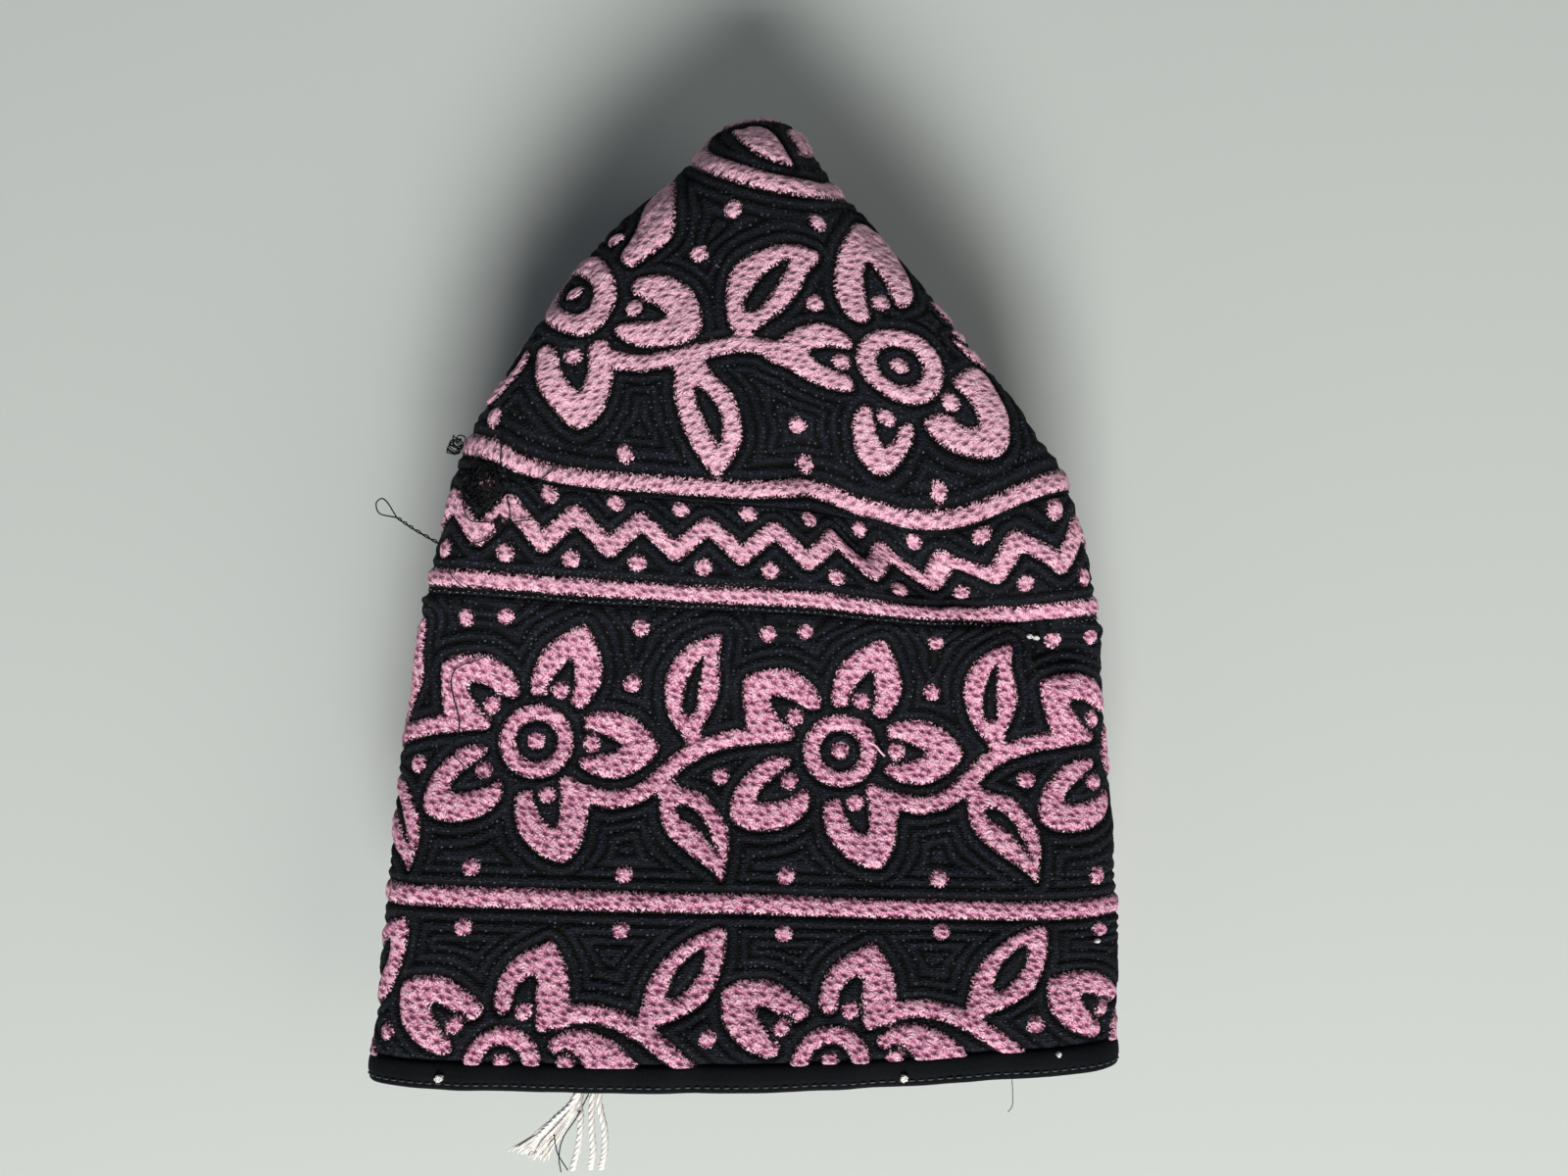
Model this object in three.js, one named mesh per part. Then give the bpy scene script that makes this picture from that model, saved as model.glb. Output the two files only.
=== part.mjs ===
// A kumma: an embroidered cloth cap lying on its back, its sides tucked in as two gussets.
// Millimetres, +Z up from the table, +Y towards the tip of the crown, +X to the right seen from above.
// Every piece is a stretch of one cloth form. A place on the cloth has two numbers: how far it lies up
// the cloth from the rim, and how far it lies round the cap from the middle of the front panel.
import * as THREE from "three";
import { ParametricGeometry } from "three/addons/geometries/ParametricGeometry.js";

// Driving dimensions
const WALL = 2.4; // thickness of the quilted cloth
const GAP = 0.7; // clearance between neighbouring pieces
const BINDING_HEIGHT = 5.2; // height of the rolled hem
const BINDING_PROUD = 0.7; // how far the hem stands out from the wall on both sides
const BINDING_ROUND = 0.9; // rounding of the rim
const BINDING_SHOULDER = 0.6; // rounding of the hem's upper edge
const BINDING_FULL = 0.6; // share of the hem's swell that is there at its upper edge
const BINDING_LOW = 0.4; // and at the rim
const SIDE_HEIGHT = 91.2; // rim to the seam between the flowered band and the zigzag band
const CROWN_SEAM = 112.8; // rim to the seam between the zigzag band and the crown
const CLOTH_HEIGHT = 203.3; // rim to the tip, along the cloth
const CENTRE = { x: 7.7, y: 0.7 }; // moves the form's own axes to the middle of its outline

// Rounding of the cross-section
const RIDGE_SIZE = 9.5; // size of the rounded ridges on both sides
const RIDGE_SHARE = 0.42; // and the most of the half width that it takes near the tip
const FOLD_SIZE = 4.6; // size of the rounded folds at the bottom of the gussets
const FOLD_SHARE = 0.26; // and the most of the half width that it takes
const TURN_SHARE = 0.3; // most of the gusset's depth that a ridge or a fold takes
const FOOT_RISE = 7.5; // height of the lower ridges above the back panel
const FOOT_SHARE = 0.275; // and the most of the wall height that it takes near the tip
const OVAL_FROM = 170; // place up the cloth where the folds begin to run out
const OVAL_FULL = 197; // and where the section is a plain oval
const SOFT_DROP = 6; // a smaller drop from the panel to its ridge than this flattens the shoulder

// Where the control points of half a section lie, as shares of the sizes above and below
const FRONT_PANEL = [
  { out: 0.36, drop: 0.1, toEdge: 0.13 },
  { out: 0.7, drop: 0.36, toEdge: 0.5 },
];
const BACK_PANEL = [
  { out: 0.62, toEdge: 0.4 },
  { out: 0.3, toEdge: 0.1 },
];
const RIDGE_ROOM = 0.5; // most of the height from fold to ridge that a ridge takes
const FOLD_ROOM = 0.36; // and that a fold takes
const SHOULDER_IN = 0.9; // of the ridge's size, from its edge in to the shoulder
const SHOULDER_RISE = 0.72; // and up to it
const OVERSHOOT = 1 / 3; // of a ridge or a fold, how far its control point lies outside it
const FLANK_IN = 0.7; // of the ridge's size, in to the gusset's wall
const FLANK_DROP = 0.95; // and down to it
const LEG_IN = 0.52; // of the gusset's depth, in to the middle of its wall
const LEG_RISE = 0.42; // of the height from fold to ridge, up to the same place

// One row for each cross-section, from the rim (up = 0) to the tip of the crown.
// up: place along the cloth. shift: middle of the section in x. mid: y of the panels' middle.
// edge: y of the ridges. tilt: how much further in y the right ridge is than the left one.
// half: half width at the ridges. top: height of the front panel. ridge: height of its ridges.
// base: height of the back panel. depth: how far the gussets are tucked in.
// tuck: how far the gusset folds lie behind the panels' middle in y.
const COLUMNS = ["up", "shift", "mid", "edge", "tilt", "half", "top", "ridge", "base", "depth", "tuck"];
const SECTIONS = [
  [0.0, -7.7, -93.6, -92.5, 3.0, 71.9, 56.0, 46.0, 0.7, 59.0, 0.0],
  [5.2, -7.7, -88.4, -87.2, 3.0, 71.6, 56.0, 46.0, 0.7, 59.0, 0.2],
  [20.0, -6.6, -74.1, -73.4, 1.0, 71.4, 53.0, 44.5, 0.0, 58.5, 0.4],
  [35.4, -6.3, -59.8, -59.2, -2.0, 70.7, 50.0, 43.0, 0.0, 58.0, 0.8],
  [50.0, -5.8, -45.4, -44.6, -2.5, 70.0, 47.3, 41.0, 0.0, 57.0, 1.1],
  [65.0, -5.6, -30.9, -30.0, -3.5, 69.0, 45.8, 39.5, 0.0, 56.0, 1.4],
  [80.0, -4.9, -16.1, -15.0, -4.5, 67.4, 47.3, 40.5, 0.0, 56.0, 1.8],
  [94.3, -4.0, -1.7, -0.5, -5.5, 64.8, 50.0, 43.0, 0.0, 55.5, 2.5],
  [104.5, -3.7, 8.1, 10.6, -5.5, 61.9, 52.5, 44.5, 0.0, 53.5, 3.7],
  [114.8, -4.2, 16.8, 22.9, -4.5, 58.6, 54.0, 45.5, 0.0, 50.5, 5.0],
  [122.3, -4.8, 24.4, 32.0, -4.2, 53.3, 55.3, 46.0, 0.4, 45.5, 4.8],
  [133.1, -5.1, 33.6, 40.7, -4.2, 46.9, 56.2, 46.5, 1.8, 39.0, 4.5],
  [143.9, -5.5, 43.0, 49.9, -5.2, 40.3, 56.6, 46.5, 4.0, 31.5, 4.3],
  [154.7, -5.4, 52.8, 58.9, -5.3, 33.6, 56.0, 46.0, 6.5, 24.0, 4.0],
  [165.5, -5.4, 63.6, 67.4, -5.0, 26.2, 55.0, 45.0, 9.5, 15.0, 3.4],
  [175.3, -5.0, 74.2, 75.0, -3.6, 19.2, 53.4, 43.5, 13.0, 8.5, 2.6],
  [183.9, -5.0, 83.0, 81.2, -2.2, 14.2, 50.0, 41.5, 17.5, 4.5, 1.8],
  [191.4, -4.8, 88.8, 86.7, -1.0, 9.6, 45.0, 39.0, 23.0, 2.0, 1.0],
  [197.9, -4.0, 91.5, 90.9, 0.0, 5.0, 39.9, 36.8, 29.0, 1.0, 0.4],
  [201.2, -3.6, 92.4, 92.2, 0.0, 2.1, 36.6, 35.3, 32.4, 0.3, 0.1],
  [203.3, -3.4, 92.6, 92.6, 0.0, 0.0, 34.5, 34.5, 34.5, 0.0, 0.0],
];

// The slanting dent that runs down the front panel: the places it passes, its depth and half width.
const DENT_PATH = [
  [3.6, 24.0],
  [13.7, 10.1],
  [32.9, -0.5],
  [52.9, -11.2],
];
const DENT_DEPTH = 4.5;
const DENT_WIDTH = 5.0;

// The slump of the front panel towards the rim, right of the dent: its place, its reach and its depth
const SLUMP = { x: 37.5, up: 112, acrossReach: 17, upReach: 18, depth: 5.5 };

// The dent and the slump fade out between these two, in control points from the front's middle
const FRONT_WHOLE = 3;
const FRONT_REACH = 4.5;

// Mesh density
const STEPS_ROUND = 96;
const ROW_CLEAR = 2; // millimetres between a piece's end and the next row of the table
const NORMAL_STEP = 0.02; // millimetres up the cloth between the places that give its normal
const NORMAL_TURN = 0.0001; // and turns round it

// A size at a place up the cloth: a smooth cubic through the rows of the table.
// Where a size stops growing or stays level its slope is nothing, so that it never swings past a row.
const columnSlopes = COLUMNS.map((_, c) =>
  SECTIONS.map((row, i) => {
    const before = SECTIONS[Math.max(i - 1, 0)];
    const after = SECTIONS[Math.min(i + 1, SECTIONS.length - 1)];
    const inner = i > 0 && i < SECTIONS.length - 1;
    if (inner && (row[c] - before[c]) * (after[c] - row[c]) <= 0) return 0;
    return (after[c] - before[c]) / (after[0] - before[0]);
  }),
);
function sizesAt(up) {
  let i = 0;
  while (i < SECTIONS.length - 2 && up >= SECTIONS[i + 1][0]) i++;
  const span = SECTIONS[i + 1][0] - SECTIONS[i][0];
  const t = (up - SECTIONS[i][0]) / span;
  const sizes = {};
  COLUMNS.forEach((name, c) => {
    const from = SECTIONS[i][c];
    const to = SECTIONS[i + 1][c];
    const leave = columnSlopes[c][i] * span;
    const arrive = columnSlopes[c][i + 1] * span;
    const hermite = 2 * (from - to) + leave + arrive;
    sizes[name] = from + t * (leave + t * (3 * (to - from) - 2 * leave - arrive + t * hermite));
  });
  return sizes;
}

// Control points of one closed cross-section, from the front's middle round by the right-hand side.
// Close to the tip the folds run out, and the section opens into a plain oval.
const sectionCache = new Map();
function controlPoints(up) {
  if (sectionCache.has(up)) return sectionCache.get(up);
  const s = sizesAt(up);
  const foot = s.base + Math.min(FOOT_RISE, FOOT_SHARE * (s.ridge - s.base));
  const fold = (s.ridge + foot) / 2;
  const room = s.ridge - fold;
  const corner = Math.min(RIDGE_SIZE, RIDGE_SHARE * s.half, RIDGE_ROOM * room);
  const crease = Math.min(FOLD_SIZE, FOLD_SHARE * s.half, FOLD_ROOM * room);
  const cornerTurn = Math.min(FLANK_IN * corner, TURN_SHARE * s.depth);
  const creaseTurn = Math.min(crease, TURN_SHARE * s.depth);
  const drop = s.top - s.ridge;
  const shoulder = SHOULDER_RISE * corner * Math.min(1, drop / SOFT_DROP);
  const foldY = s.mid - s.tuck;
  const legY = (s.edge + foldY) / 2;
  const towardsEdge = (share) => s.mid + share * (s.edge - s.mid);
  const foldX = s.half - s.depth;
  const half = [
    [0, s.top, s.mid],
    ...FRONT_PANEL.map((p) => [p.out * s.half, s.top - p.drop * drop, towardsEdge(p.toEdge)]),
    [s.half - SHOULDER_IN * corner, s.ridge + shoulder, s.edge],
    [s.half + OVERSHOOT * corner, s.ridge, s.edge],
    [s.half - cornerTurn, s.ridge - FLANK_DROP * corner, s.edge],
    [s.half - LEG_IN * s.depth, fold + LEG_RISE * room, legY],
    [foldX + creaseTurn, fold + crease, foldY],
    [foldX - OVERSHOOT * creaseTurn, fold, foldY],
    [foldX + creaseTurn, fold - crease, foldY],
    [s.half - LEG_IN * s.depth, fold - LEG_RISE * room, legY],
    [s.half - cornerTurn, foot + FLANK_DROP * corner, s.edge],
    [s.half + OVERSHOOT * corner, foot, s.edge],
    [s.half - SHOULDER_IN * corner, s.base, s.edge],
    ...BACK_PANEL.map((p) => [p.out * s.half, s.base, towardsEdge(p.toEdge)]),
    [0, s.base, s.mid],
  ];
  const open = THREE.MathUtils.smoothstep(up, OVAL_FROM, OVAL_FULL);
  half.forEach((point, i) => {
    const angle = (Math.PI * i) / (half.length - 1);
    const middle = (s.top + s.base) / 2;
    point[0] += open * (s.half * Math.sin(angle) - point[0]);
    point[1] += open * (middle + (s.top - middle) * Math.cos(angle) - point[1]);
    point[2] += open * (s.mid - point[2]);
  });
  const lean = s.half > 0 ? s.tilt / (2 * s.half) : 0;
  const place = (side) => ([x, z, y]) =>
    new THREE.Vector3(CENTRE.x + s.shift + side * x, CENTRE.y + y + side * x * lean, z);
  const points = [...half.map(place(1)), ...half.slice(1, -1).reverse().map(place(-1))];
  sectionCache.set(up, points);
  return points;
}

// Depth of the dent at a place: a soft groove along its path that runs out at both ends.
function dentAt(x, y) {
  let nearest = Infinity;
  for (let i = 0; i < DENT_PATH.length - 1; i++) {
    const [ax, ay] = DENT_PATH[i];
    const [bx, by] = DENT_PATH[i + 1];
    const [px, py] = [x - CENTRE.x - ax, y - CENTRE.y - ay];
    const [dx, dy] = [bx - ax, by - ay];
    const t = Math.min(1, Math.max(0, (px * dx + py * dy) / (dx * dx + dy * dy)));
    nearest = Math.min(nearest, Math.hypot(px - t * dx, py - t * dy));
  }
  return DENT_DEPTH * Math.exp(-((nearest / DENT_WIDTH) ** 2));
}

// How far the front panel sags towards the rim at a place: a bell curve across the panel and up it.
function slumpAt(x, up) {
  const across = (x - SLUMP.x) / SLUMP.acrossReach;
  const along = (up - SLUMP.up) / SLUMP.upReach;
  return SLUMP.depth * Math.exp(-across * across - along * along);
}

// The outer face of the cloth: a closed cubic B-spline round the section at that height.
function outerFace(round, up) {
  const points = controlPoints(up);
  const count = points.length;
  const at = (((round % 1) + 1) % 1) * count;
  const i = Math.floor(at);
  const t = at - i;
  const weights = [(1 - t) ** 3, 3 * t ** 3 - 6 * t * t + 4, -3 * t ** 3 + 3 * t * t + 3 * t + 1, t ** 3];
  const place = new THREE.Vector3();
  weights.forEach((w, k) => place.addScaledVector(points[(i + k - 1 + count) % count], w / 6));
  const front = 1 - THREE.MathUtils.smoothstep(Math.min(at, count - at), FRONT_WHOLE, FRONT_REACH);
  place.y -= front * slumpAt(place.x, up);
  place.z -= front * dentAt(place.x, place.y);
  return place;
}

// A place in the cloth: the outer face moved inwards, along its normal, by a depth in millimetres.
function clothPlace(round, up, inwards) {
  const place = outerFace(round, up);
  if (up >= CLOTH_HEIGHT) return place.add(new THREE.Vector3(0, -inwards, 0));
  const low = Math.max(0, up - NORMAL_STEP);
  const high = Math.min(CLOTH_HEIGHT, up + NORMAL_STEP);
  const along = outerFace(round, high).sub(outerFace(round, low));
  const across = outerFace(round + NORMAL_TURN, up).sub(outerFace(round - NORMAL_TURN, up));
  const normal = across.cross(along).normalize();
  return place.addScaledVector(normal, -inwards);
}

// A closed solid swept round the cap: its outline is a list of [up, inwards] places in the wall.
// An outline that starts and ends at the tip closes there, and any other closes on itself.
function sweptRound(outline) {
  const last = outline[outline.length - 1];
  const closed = last[0] >= CLOTH_HEIGHT ? outline : [...outline, outline[0]];
  const steps = closed.length - 1;
  const place = (round, along, target) => {
    const [up, inwards] = closed[steps - Math.round(along * steps)];
    target.copy(clothPlace(round % 1, up, inwards));
  };
  return new ParametricGeometry(place, STEPS_ROUND, steps);
}

// Places up the cloth between two ends: the table's rows, without those close to an end.
function placesUp(from, to) {
  const rows = SECTIONS.map((row) => row[0]).filter((up) => up > from + ROW_CLEAR && up < to - ROW_CLEAR);
  return [from, ...rows, to];
}

// A wall of even thickness between two places up the cloth.
function wallOutline(from, to) {
  const outer = placesUp(from, to).map((up) => [up, 0]);
  const inner = placesUp(from, to).map((up) => [up, WALL]);
  return [...outer.reverse(), ...inner];
}

// The rolled hem: a rounded bead that stands a little proud of the wall, the same inside and outside.
function bindingOutline() {
  const face = [
    [BINDING_HEIGHT, 0],
    [BINDING_HEIGHT - BINDING_SHOULDER, -BINDING_FULL * BINDING_PROUD],
    [BINDING_HEIGHT / 2, -BINDING_PROUD],
    [BINDING_ROUND, -BINDING_LOW * BINDING_PROUD],
    [0, BINDING_ROUND],
  ];
  const inside = face.map(([up, inwards]) => [up, WALL - inwards]).reverse();
  return [...face, ...inside];
}

const blackCloth = { color: 0x15171d, roughness: 0.9, metalness: 0 };
const pieces = [
  ["crown", wallOutline(CROWN_SEAM + GAP, CLOTH_HEIGHT), { ...blackCloth, color: 0x2a2026 }],
  ["border_band", wallOutline(SIDE_HEIGHT + GAP, CROWN_SEAM), { ...blackCloth, color: 0x241c22 }],
  ["side_band", wallOutline(BINDING_HEIGHT + GAP, SIDE_HEIGHT), blackCloth],
  ["rim_binding", bindingOutline(), { ...blackCloth, color: 0x0d0e12 }],
];

const kumma = new THREE.Group();
for (const [name, outline, finish] of pieces) {
  const piece = new THREE.Mesh(sweptRound(outline), new THREE.MeshStandardMaterial(finish));
  piece.name = name;
  kumma.add(piece);
}

export default kumma;
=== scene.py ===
# A kumma, an embroidered cloth cap, lying on its back with its sides tucked in: the looks of it.
# The cap is one cloth form. A place on the cloth has two numbers: up, the millimetres along the cloth
# from the rim, and round, the repeats of the embroidery from the middle of the front panel, to the right.
import functools
import math

import bpy
import numpy as np
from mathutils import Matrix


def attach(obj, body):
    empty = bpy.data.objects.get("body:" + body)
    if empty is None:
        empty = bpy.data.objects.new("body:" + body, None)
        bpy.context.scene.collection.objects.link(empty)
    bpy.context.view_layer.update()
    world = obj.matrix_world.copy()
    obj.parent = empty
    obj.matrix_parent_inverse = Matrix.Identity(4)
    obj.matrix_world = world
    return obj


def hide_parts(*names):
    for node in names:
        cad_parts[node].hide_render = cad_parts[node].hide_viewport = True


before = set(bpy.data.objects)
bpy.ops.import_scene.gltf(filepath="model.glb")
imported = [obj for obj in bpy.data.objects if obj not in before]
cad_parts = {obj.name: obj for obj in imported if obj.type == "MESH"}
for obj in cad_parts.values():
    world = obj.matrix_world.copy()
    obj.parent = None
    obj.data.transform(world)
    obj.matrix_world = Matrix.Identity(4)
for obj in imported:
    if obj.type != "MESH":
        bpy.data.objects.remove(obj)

bl_info = {
    "name": "Kumma",
    "version": (1, 0, 0),
    "blender": (4, 5, 0),
    "location": "3D View > Sidebar > Kumma",
    "description": "Quilted and embroidered cloth of a kumma around its packed solids",
    "category": "Object",
}

# The cloth's own sizes in millimetres, the same as in the part
MM = 0.001
TINY = 1e-9  # keeps a division from one by nothing
WALL = 2.4
HEM_TOP = 5.4  # seam between the hem and the tall band
BAND_TOP = 91.4  # seam between the tall band and the zigzag band
CROWN_FROM = 113.0  # seam between the zigzag band and the crown
CLOTH_HEIGHT = 203.3  # rim to the tip of the crown
CENTRE = (7.7, 0.7)
REPEATS = 9  # flowers round the band
TABLE_CLEARANCE = 0.05  # the cloth's raised work lies flat on the table
BAND_MM = 59.0  # width of a repeat on the flat band, for the weave and the stitches

# Rounding of the cross-section: sizes of the ridges, the folds and the feet, and the most they may take
RIDGE_SIZE, RIDGE_SHARE, RIDGE_ROOM = 9.5, 0.42, 0.5
FOLD_SIZE, FOLD_SHARE, FOLD_ROOM = 4.6, 0.26, 0.36
FOOT_RISE, FOOT_SHARE = 7.5, 0.275
TURN_SHARE = 0.3
OVAL_FROM, OVAL_FULL = 170, 197
SOFT_DROP = 6

# Where the control points of half a section lie, as shares of the sizes: out along the half width, down
# the drop from the panel to its ridge, and in y towards the edge
FRONT_PANEL = [(0.36, 0.1, 0.13), (0.7, 0.36, 0.5)]
BACK_PANEL = [(0.62, 0.4), (0.3, 0.1)]
SHOULDER_IN, SHOULDER_RISE = 0.9, 0.72
OVERSHOOT = 1 / 3
FLANK_IN, FLANK_DROP = 0.7, 0.95
LEG_IN, LEG_RISE = 0.52, 0.42

# One row for each cross-section, from the rim to the tip.
# up: place along the cloth. shift: middle of the section in x. mid: y of the panels' middle.
# edge: y of the ridges. tilt: how much further in y the right ridge is than the left one.
# half: half width at the ridges. top: height of the front panel. ridge: height of its ridges.
# base: height of the back panel. depth: how far the gussets are tucked in.
# tuck: how far the gusset folds lie behind the panels' middle in y. repeat: width of one repeat.
COLUMNS = ("up", "shift", "mid", "edge", "tilt", "half", "top", "ridge", "base", "depth", "tuck", "repeat")
SECTIONS = np.array([
    [0.0, -7.7, -93.6, -92.5, 3.0, 71.9, 56.0, 46.0, 0.7, 59.0, 0.0, 61.6],
    [5.2, -7.7, -88.4, -87.2, 3.0, 71.6, 56.0, 46.0, 0.7, 59.0, 0.2, 61.5],
    [20.0, -6.6, -74.1, -73.4, 1.0, 71.4, 53.0, 44.5, 0.0, 58.5, 0.4, 61.2],
    [35.4, -6.3, -59.8, -59.2, -2.0, 70.7, 50.0, 43.0, 0.0, 58.0, 0.8, 60.4],
    [50.0, -5.8, -45.4, -44.6, -2.5, 70.0, 47.3, 41.0, 0.0, 57.0, 1.1, 59.4],
    [65.0, -5.6, -30.9, -30.0, -3.5, 69.0, 45.8, 39.5, 0.0, 56.0, 1.4, 58.6],
    [80.0, -4.9, -16.1, -15.0, -4.5, 67.4, 47.3, 40.5, 0.0, 56.0, 1.8, 58.1],
    [94.3, -4.0, -1.7, -0.5, -5.5, 64.8, 50.0, 43.0, 0.0, 55.5, 2.5, 57.6],
    [104.5, -3.7, 8.1, 10.6, -5.5, 61.9, 52.5, 44.5, 0.0, 53.5, 3.7, 57.2],
    [114.8, -4.2, 16.8, 22.9, -4.5, 58.6, 54.0, 45.5, 0.0, 50.5, 5.0, 57.0],
    [122.3, -4.8, 24.4, 32.0, -4.2, 53.3, 55.3, 46.0, 0.4, 45.5, 4.8, 56.5],
    [133.1, -5.1, 33.6, 40.7, -4.2, 46.9, 56.2, 46.5, 1.8, 39.0, 4.5, 49.0],
    [143.9, -5.5, 43.0, 49.9, -5.2, 40.3, 56.6, 46.5, 4.0, 31.5, 4.3, 41.5],
    [154.7, -5.4, 52.8, 58.9, -5.3, 33.6, 56.0, 46.0, 6.5, 24.0, 4.0, 33.9],
    [165.5, -5.4, 63.6, 67.4, -5.0, 26.2, 55.0, 45.0, 9.5, 15.0, 3.4, 26.4],
    [175.3, -5.0, 74.2, 75.0, -3.6, 19.2, 53.4, 43.5, 13.0, 8.5, 2.6, 19.5],
    [183.9, -5.0, 83.0, 81.2, -2.2, 14.2, 50.0, 41.5, 17.5, 4.5, 1.8, 13.5],
    [191.4, -4.8, 88.8, 86.7, -1.0, 9.6, 45.0, 39.0, 23.0, 2.0, 1.0, 8.3],
    [197.9, -4.0, 91.5, 90.9, 0.0, 5.0, 39.9, 36.8, 29.0, 1.0, 0.4, 3.8],
    [201.2, -3.6, 92.4, 92.2, 0.0, 2.1, 36.6, 35.3, 32.4, 0.3, 0.1, 1.5],
    [203.3, -3.4, 92.6, 92.6, 0.0, 0.0, 34.5, 34.5, 34.5, 0.0, 0.0, 0.0],
])

# The slanting dent in the front panel, and the slump of the cloth round it
DENT_PATH = np.array([[3.6, 24.0], [13.7, 10.1], [32.9, -0.5], [52.9, -11.2]])
DENT_DEPTH, DENT_WIDTH = 4.5, 5.0
SLUMP = {"x": 37.5, "up": 112, "across_reach": 17, "up_reach": 18, "depth": 5.5}
# They fade out between these two, in control points from the front's middle
FRONT_WHOLE, FRONT_REACH = 3, 4.5

# Soft unevenness of quilted cloth: slanting waves 10 to 26 mm long. For each: how many go round the cap,
# radians to a mm up the cloth, height in mm and start. They fade out between two places near the tip.
PUCKER_WAVES = [(19, 0.10, 0.16, 0.3), (-31, 0.21, 0.12, 1.7), (47, -0.33, 0.10, 4.1), (-11, 0.44, 0.10, 2.2)]
PUCKER_FADE = (150, 190)
# Repeats keep their real width next to the front's middle. The back takes up what is left over, between
# these two shares of the way round.
SPARE_FROM, SPARE_TO = 0.25, 0.75
SMALLEST_REPEAT = 0.2

# Outlines of the embroidery on one repeat of the band: millimetres from the middle of the flower, to the
# right and towards the crown. round and up are the place of that middle, in repeats and mm, and low and high
# are how far up the drawing reaches. A pierced shape is an outline and the slit in it, a stem is a line, a
# ring is its middle and two radii, and a dot is its middle. Upper row of flowers:
UPPER_ROW = {
    "round": -0.72, "up": 65.0, "repeat": 58.6, "low": -32, "high": 30,
    "shapes": {
        "petal_up": [
            (-1.4, 9.0), (-1.5, 12.8), (0.3, 17.2), (4.0, 20.3), (8.0, 22.4), (9.8, 20.6), (11.3, 17.2),
            (12.0, 13.4), (11.0, 9.9), (8.4, 6.7), (6.3, 7.8), (6.8, 11.0), (6.3, 16.0), (3.8, 14.0),
            (2.2, 11.6), (1.9, 9.3)],
        "petal_up_left": [
            (-4.3, 8.1), (-4.1, 10.5), (-6.4, 13.7), (-10.2, 15.7), (-13.8, 15.7), (-17.3, 14.9),
            (-19.0, 13.7), (-19.2, 11.3), (-18.8, 8.1), (-17.9, 4.2), (-14.6, 1.7), (-9.7, 2.0),
            (-9.1, 4.1), (-11.4, 5.8), (-13.5, 8.7), (-13.3, 10.5), (-10.4, 10.2), (-7.0, 8.4)],
        "petal_down_left": [
            (-9.7, -2.9), (-9.9, -1.5), (-13.1, -1.5), (-16.7, -3.8), (-19.9, -7.9), (-20.9, -11.9),
            (-20.2, -14.2), (-17.3, -15.7), (-12.9, -15.7), (-8.8, -14.2), (-6.3, -11.6), (-5.9, -9.3),
            (-6.7, -7.8), (-8.8, -9.0), (-11.8, -10.2), (-15.8, -10.2), (-15.0, -7.6), (-12.0, -4.9)],
        "petal_right": [
            (9.1, 3.8), (9.3, 5.2), (12.3, 6.1), (16.0, 6.1), (19.6, 4.7), (22.5, 2.0), (23.7, -0.3),
            (22.5, -2.6), (19.7, -4.9), (16.2, -6.4), (11.9, -6.1), (8.9, -4.4), (8.6, -3.2),
            (9.9, -2.6), (14.4, -1.7), (16.7, 0.0), (13.8, 1.5), (11.8, 2.3), (9.6, 2.3)],
        "petal_down": [
            (-1.3, -9.6), (-3.1, -10.5), (-3.2, -13.1), (-2.4, -16.3), (-0.3, -19.2), (3.1, -21.8),
            (6.9, -22.7), (8.8, -21.2), (10.2, -18.0), (10.7, -13.4), (11.2, -10.6), (9.1, -8.1),
            (6.8, -6.7), (5.0, -7.3), (5.3, -11.6), (5.5, -14.2), (4.5, -16.3), (2.3, -15.1),
            (0.7, -12.5), (-0.2, -9.9)],
    },
    "pierced": {
        "leaf_up": ([
            (29.4, -0.8), (28.6, 1.6), (27.0, 3.6), (25.3, 6.3), (24.5, 9.6), (24.6, 13.7), (26.8, 18.0),
            (30.3, 20.6), (33.8, 21.8), (34.8, 21.2), (34.4, 17.2), (34.8, 14.2), (34.7, 10.5),
            (33.2, 6.7), (31.8, 3.6), (31.8, 0.6)],
            [(27.9, 6.9), (30.4, 6.9), (30.9, 11.6), (31.5, 17.8), (28.7, 13.2)]),
        "leaf_down": ([
            (22.6, -7.6), (24.2, -9.9), (24.5, -13.1), (25.8, -16.3), (28.8, -19.2), (32.6, -21.8),
            (35.3, -23.8), (36.6, -25.3), (37.2, -22.4), (37.7, -18.7), (37.0, -15.2), (34.9, -11.9),
            (32.5, -9.0), (28.3, -7.8), (25.2, -5.6)],
            [(27.5, -11.4), (30.4, -11.7), (33.0, -14.3), (35.8, -20.6), (32.1, -16.3), (28.1, -13.4)]),
    },
    "stems": [
        [(9.3, -9.4), (15.0, -10.8), (19.3, -9.9), (22.6, -7.8), (25.2, -5.2), (28.1, -2.3), (32.3, 0.2),
         (37.6, 1.9), (42.5, 2.7), (47.0, 3.4)],
    ],
    "rings": [(0.0, 0.0, 4.0, 7.1)],
    "dots": [
        (0.0, 0.0), (4.1, 9.9), (-8.9, 6.5), (-9.7, -6.1), (10.8, 0.0), (2.8, -10.2), (-14.9, 22.4),
        (-7.3, 23.2), (19.0, 22.4), (18.0, 11.9), (35.7, -5.5), (-10.1, -24.2), (18.4, -24.6)],
}
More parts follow.
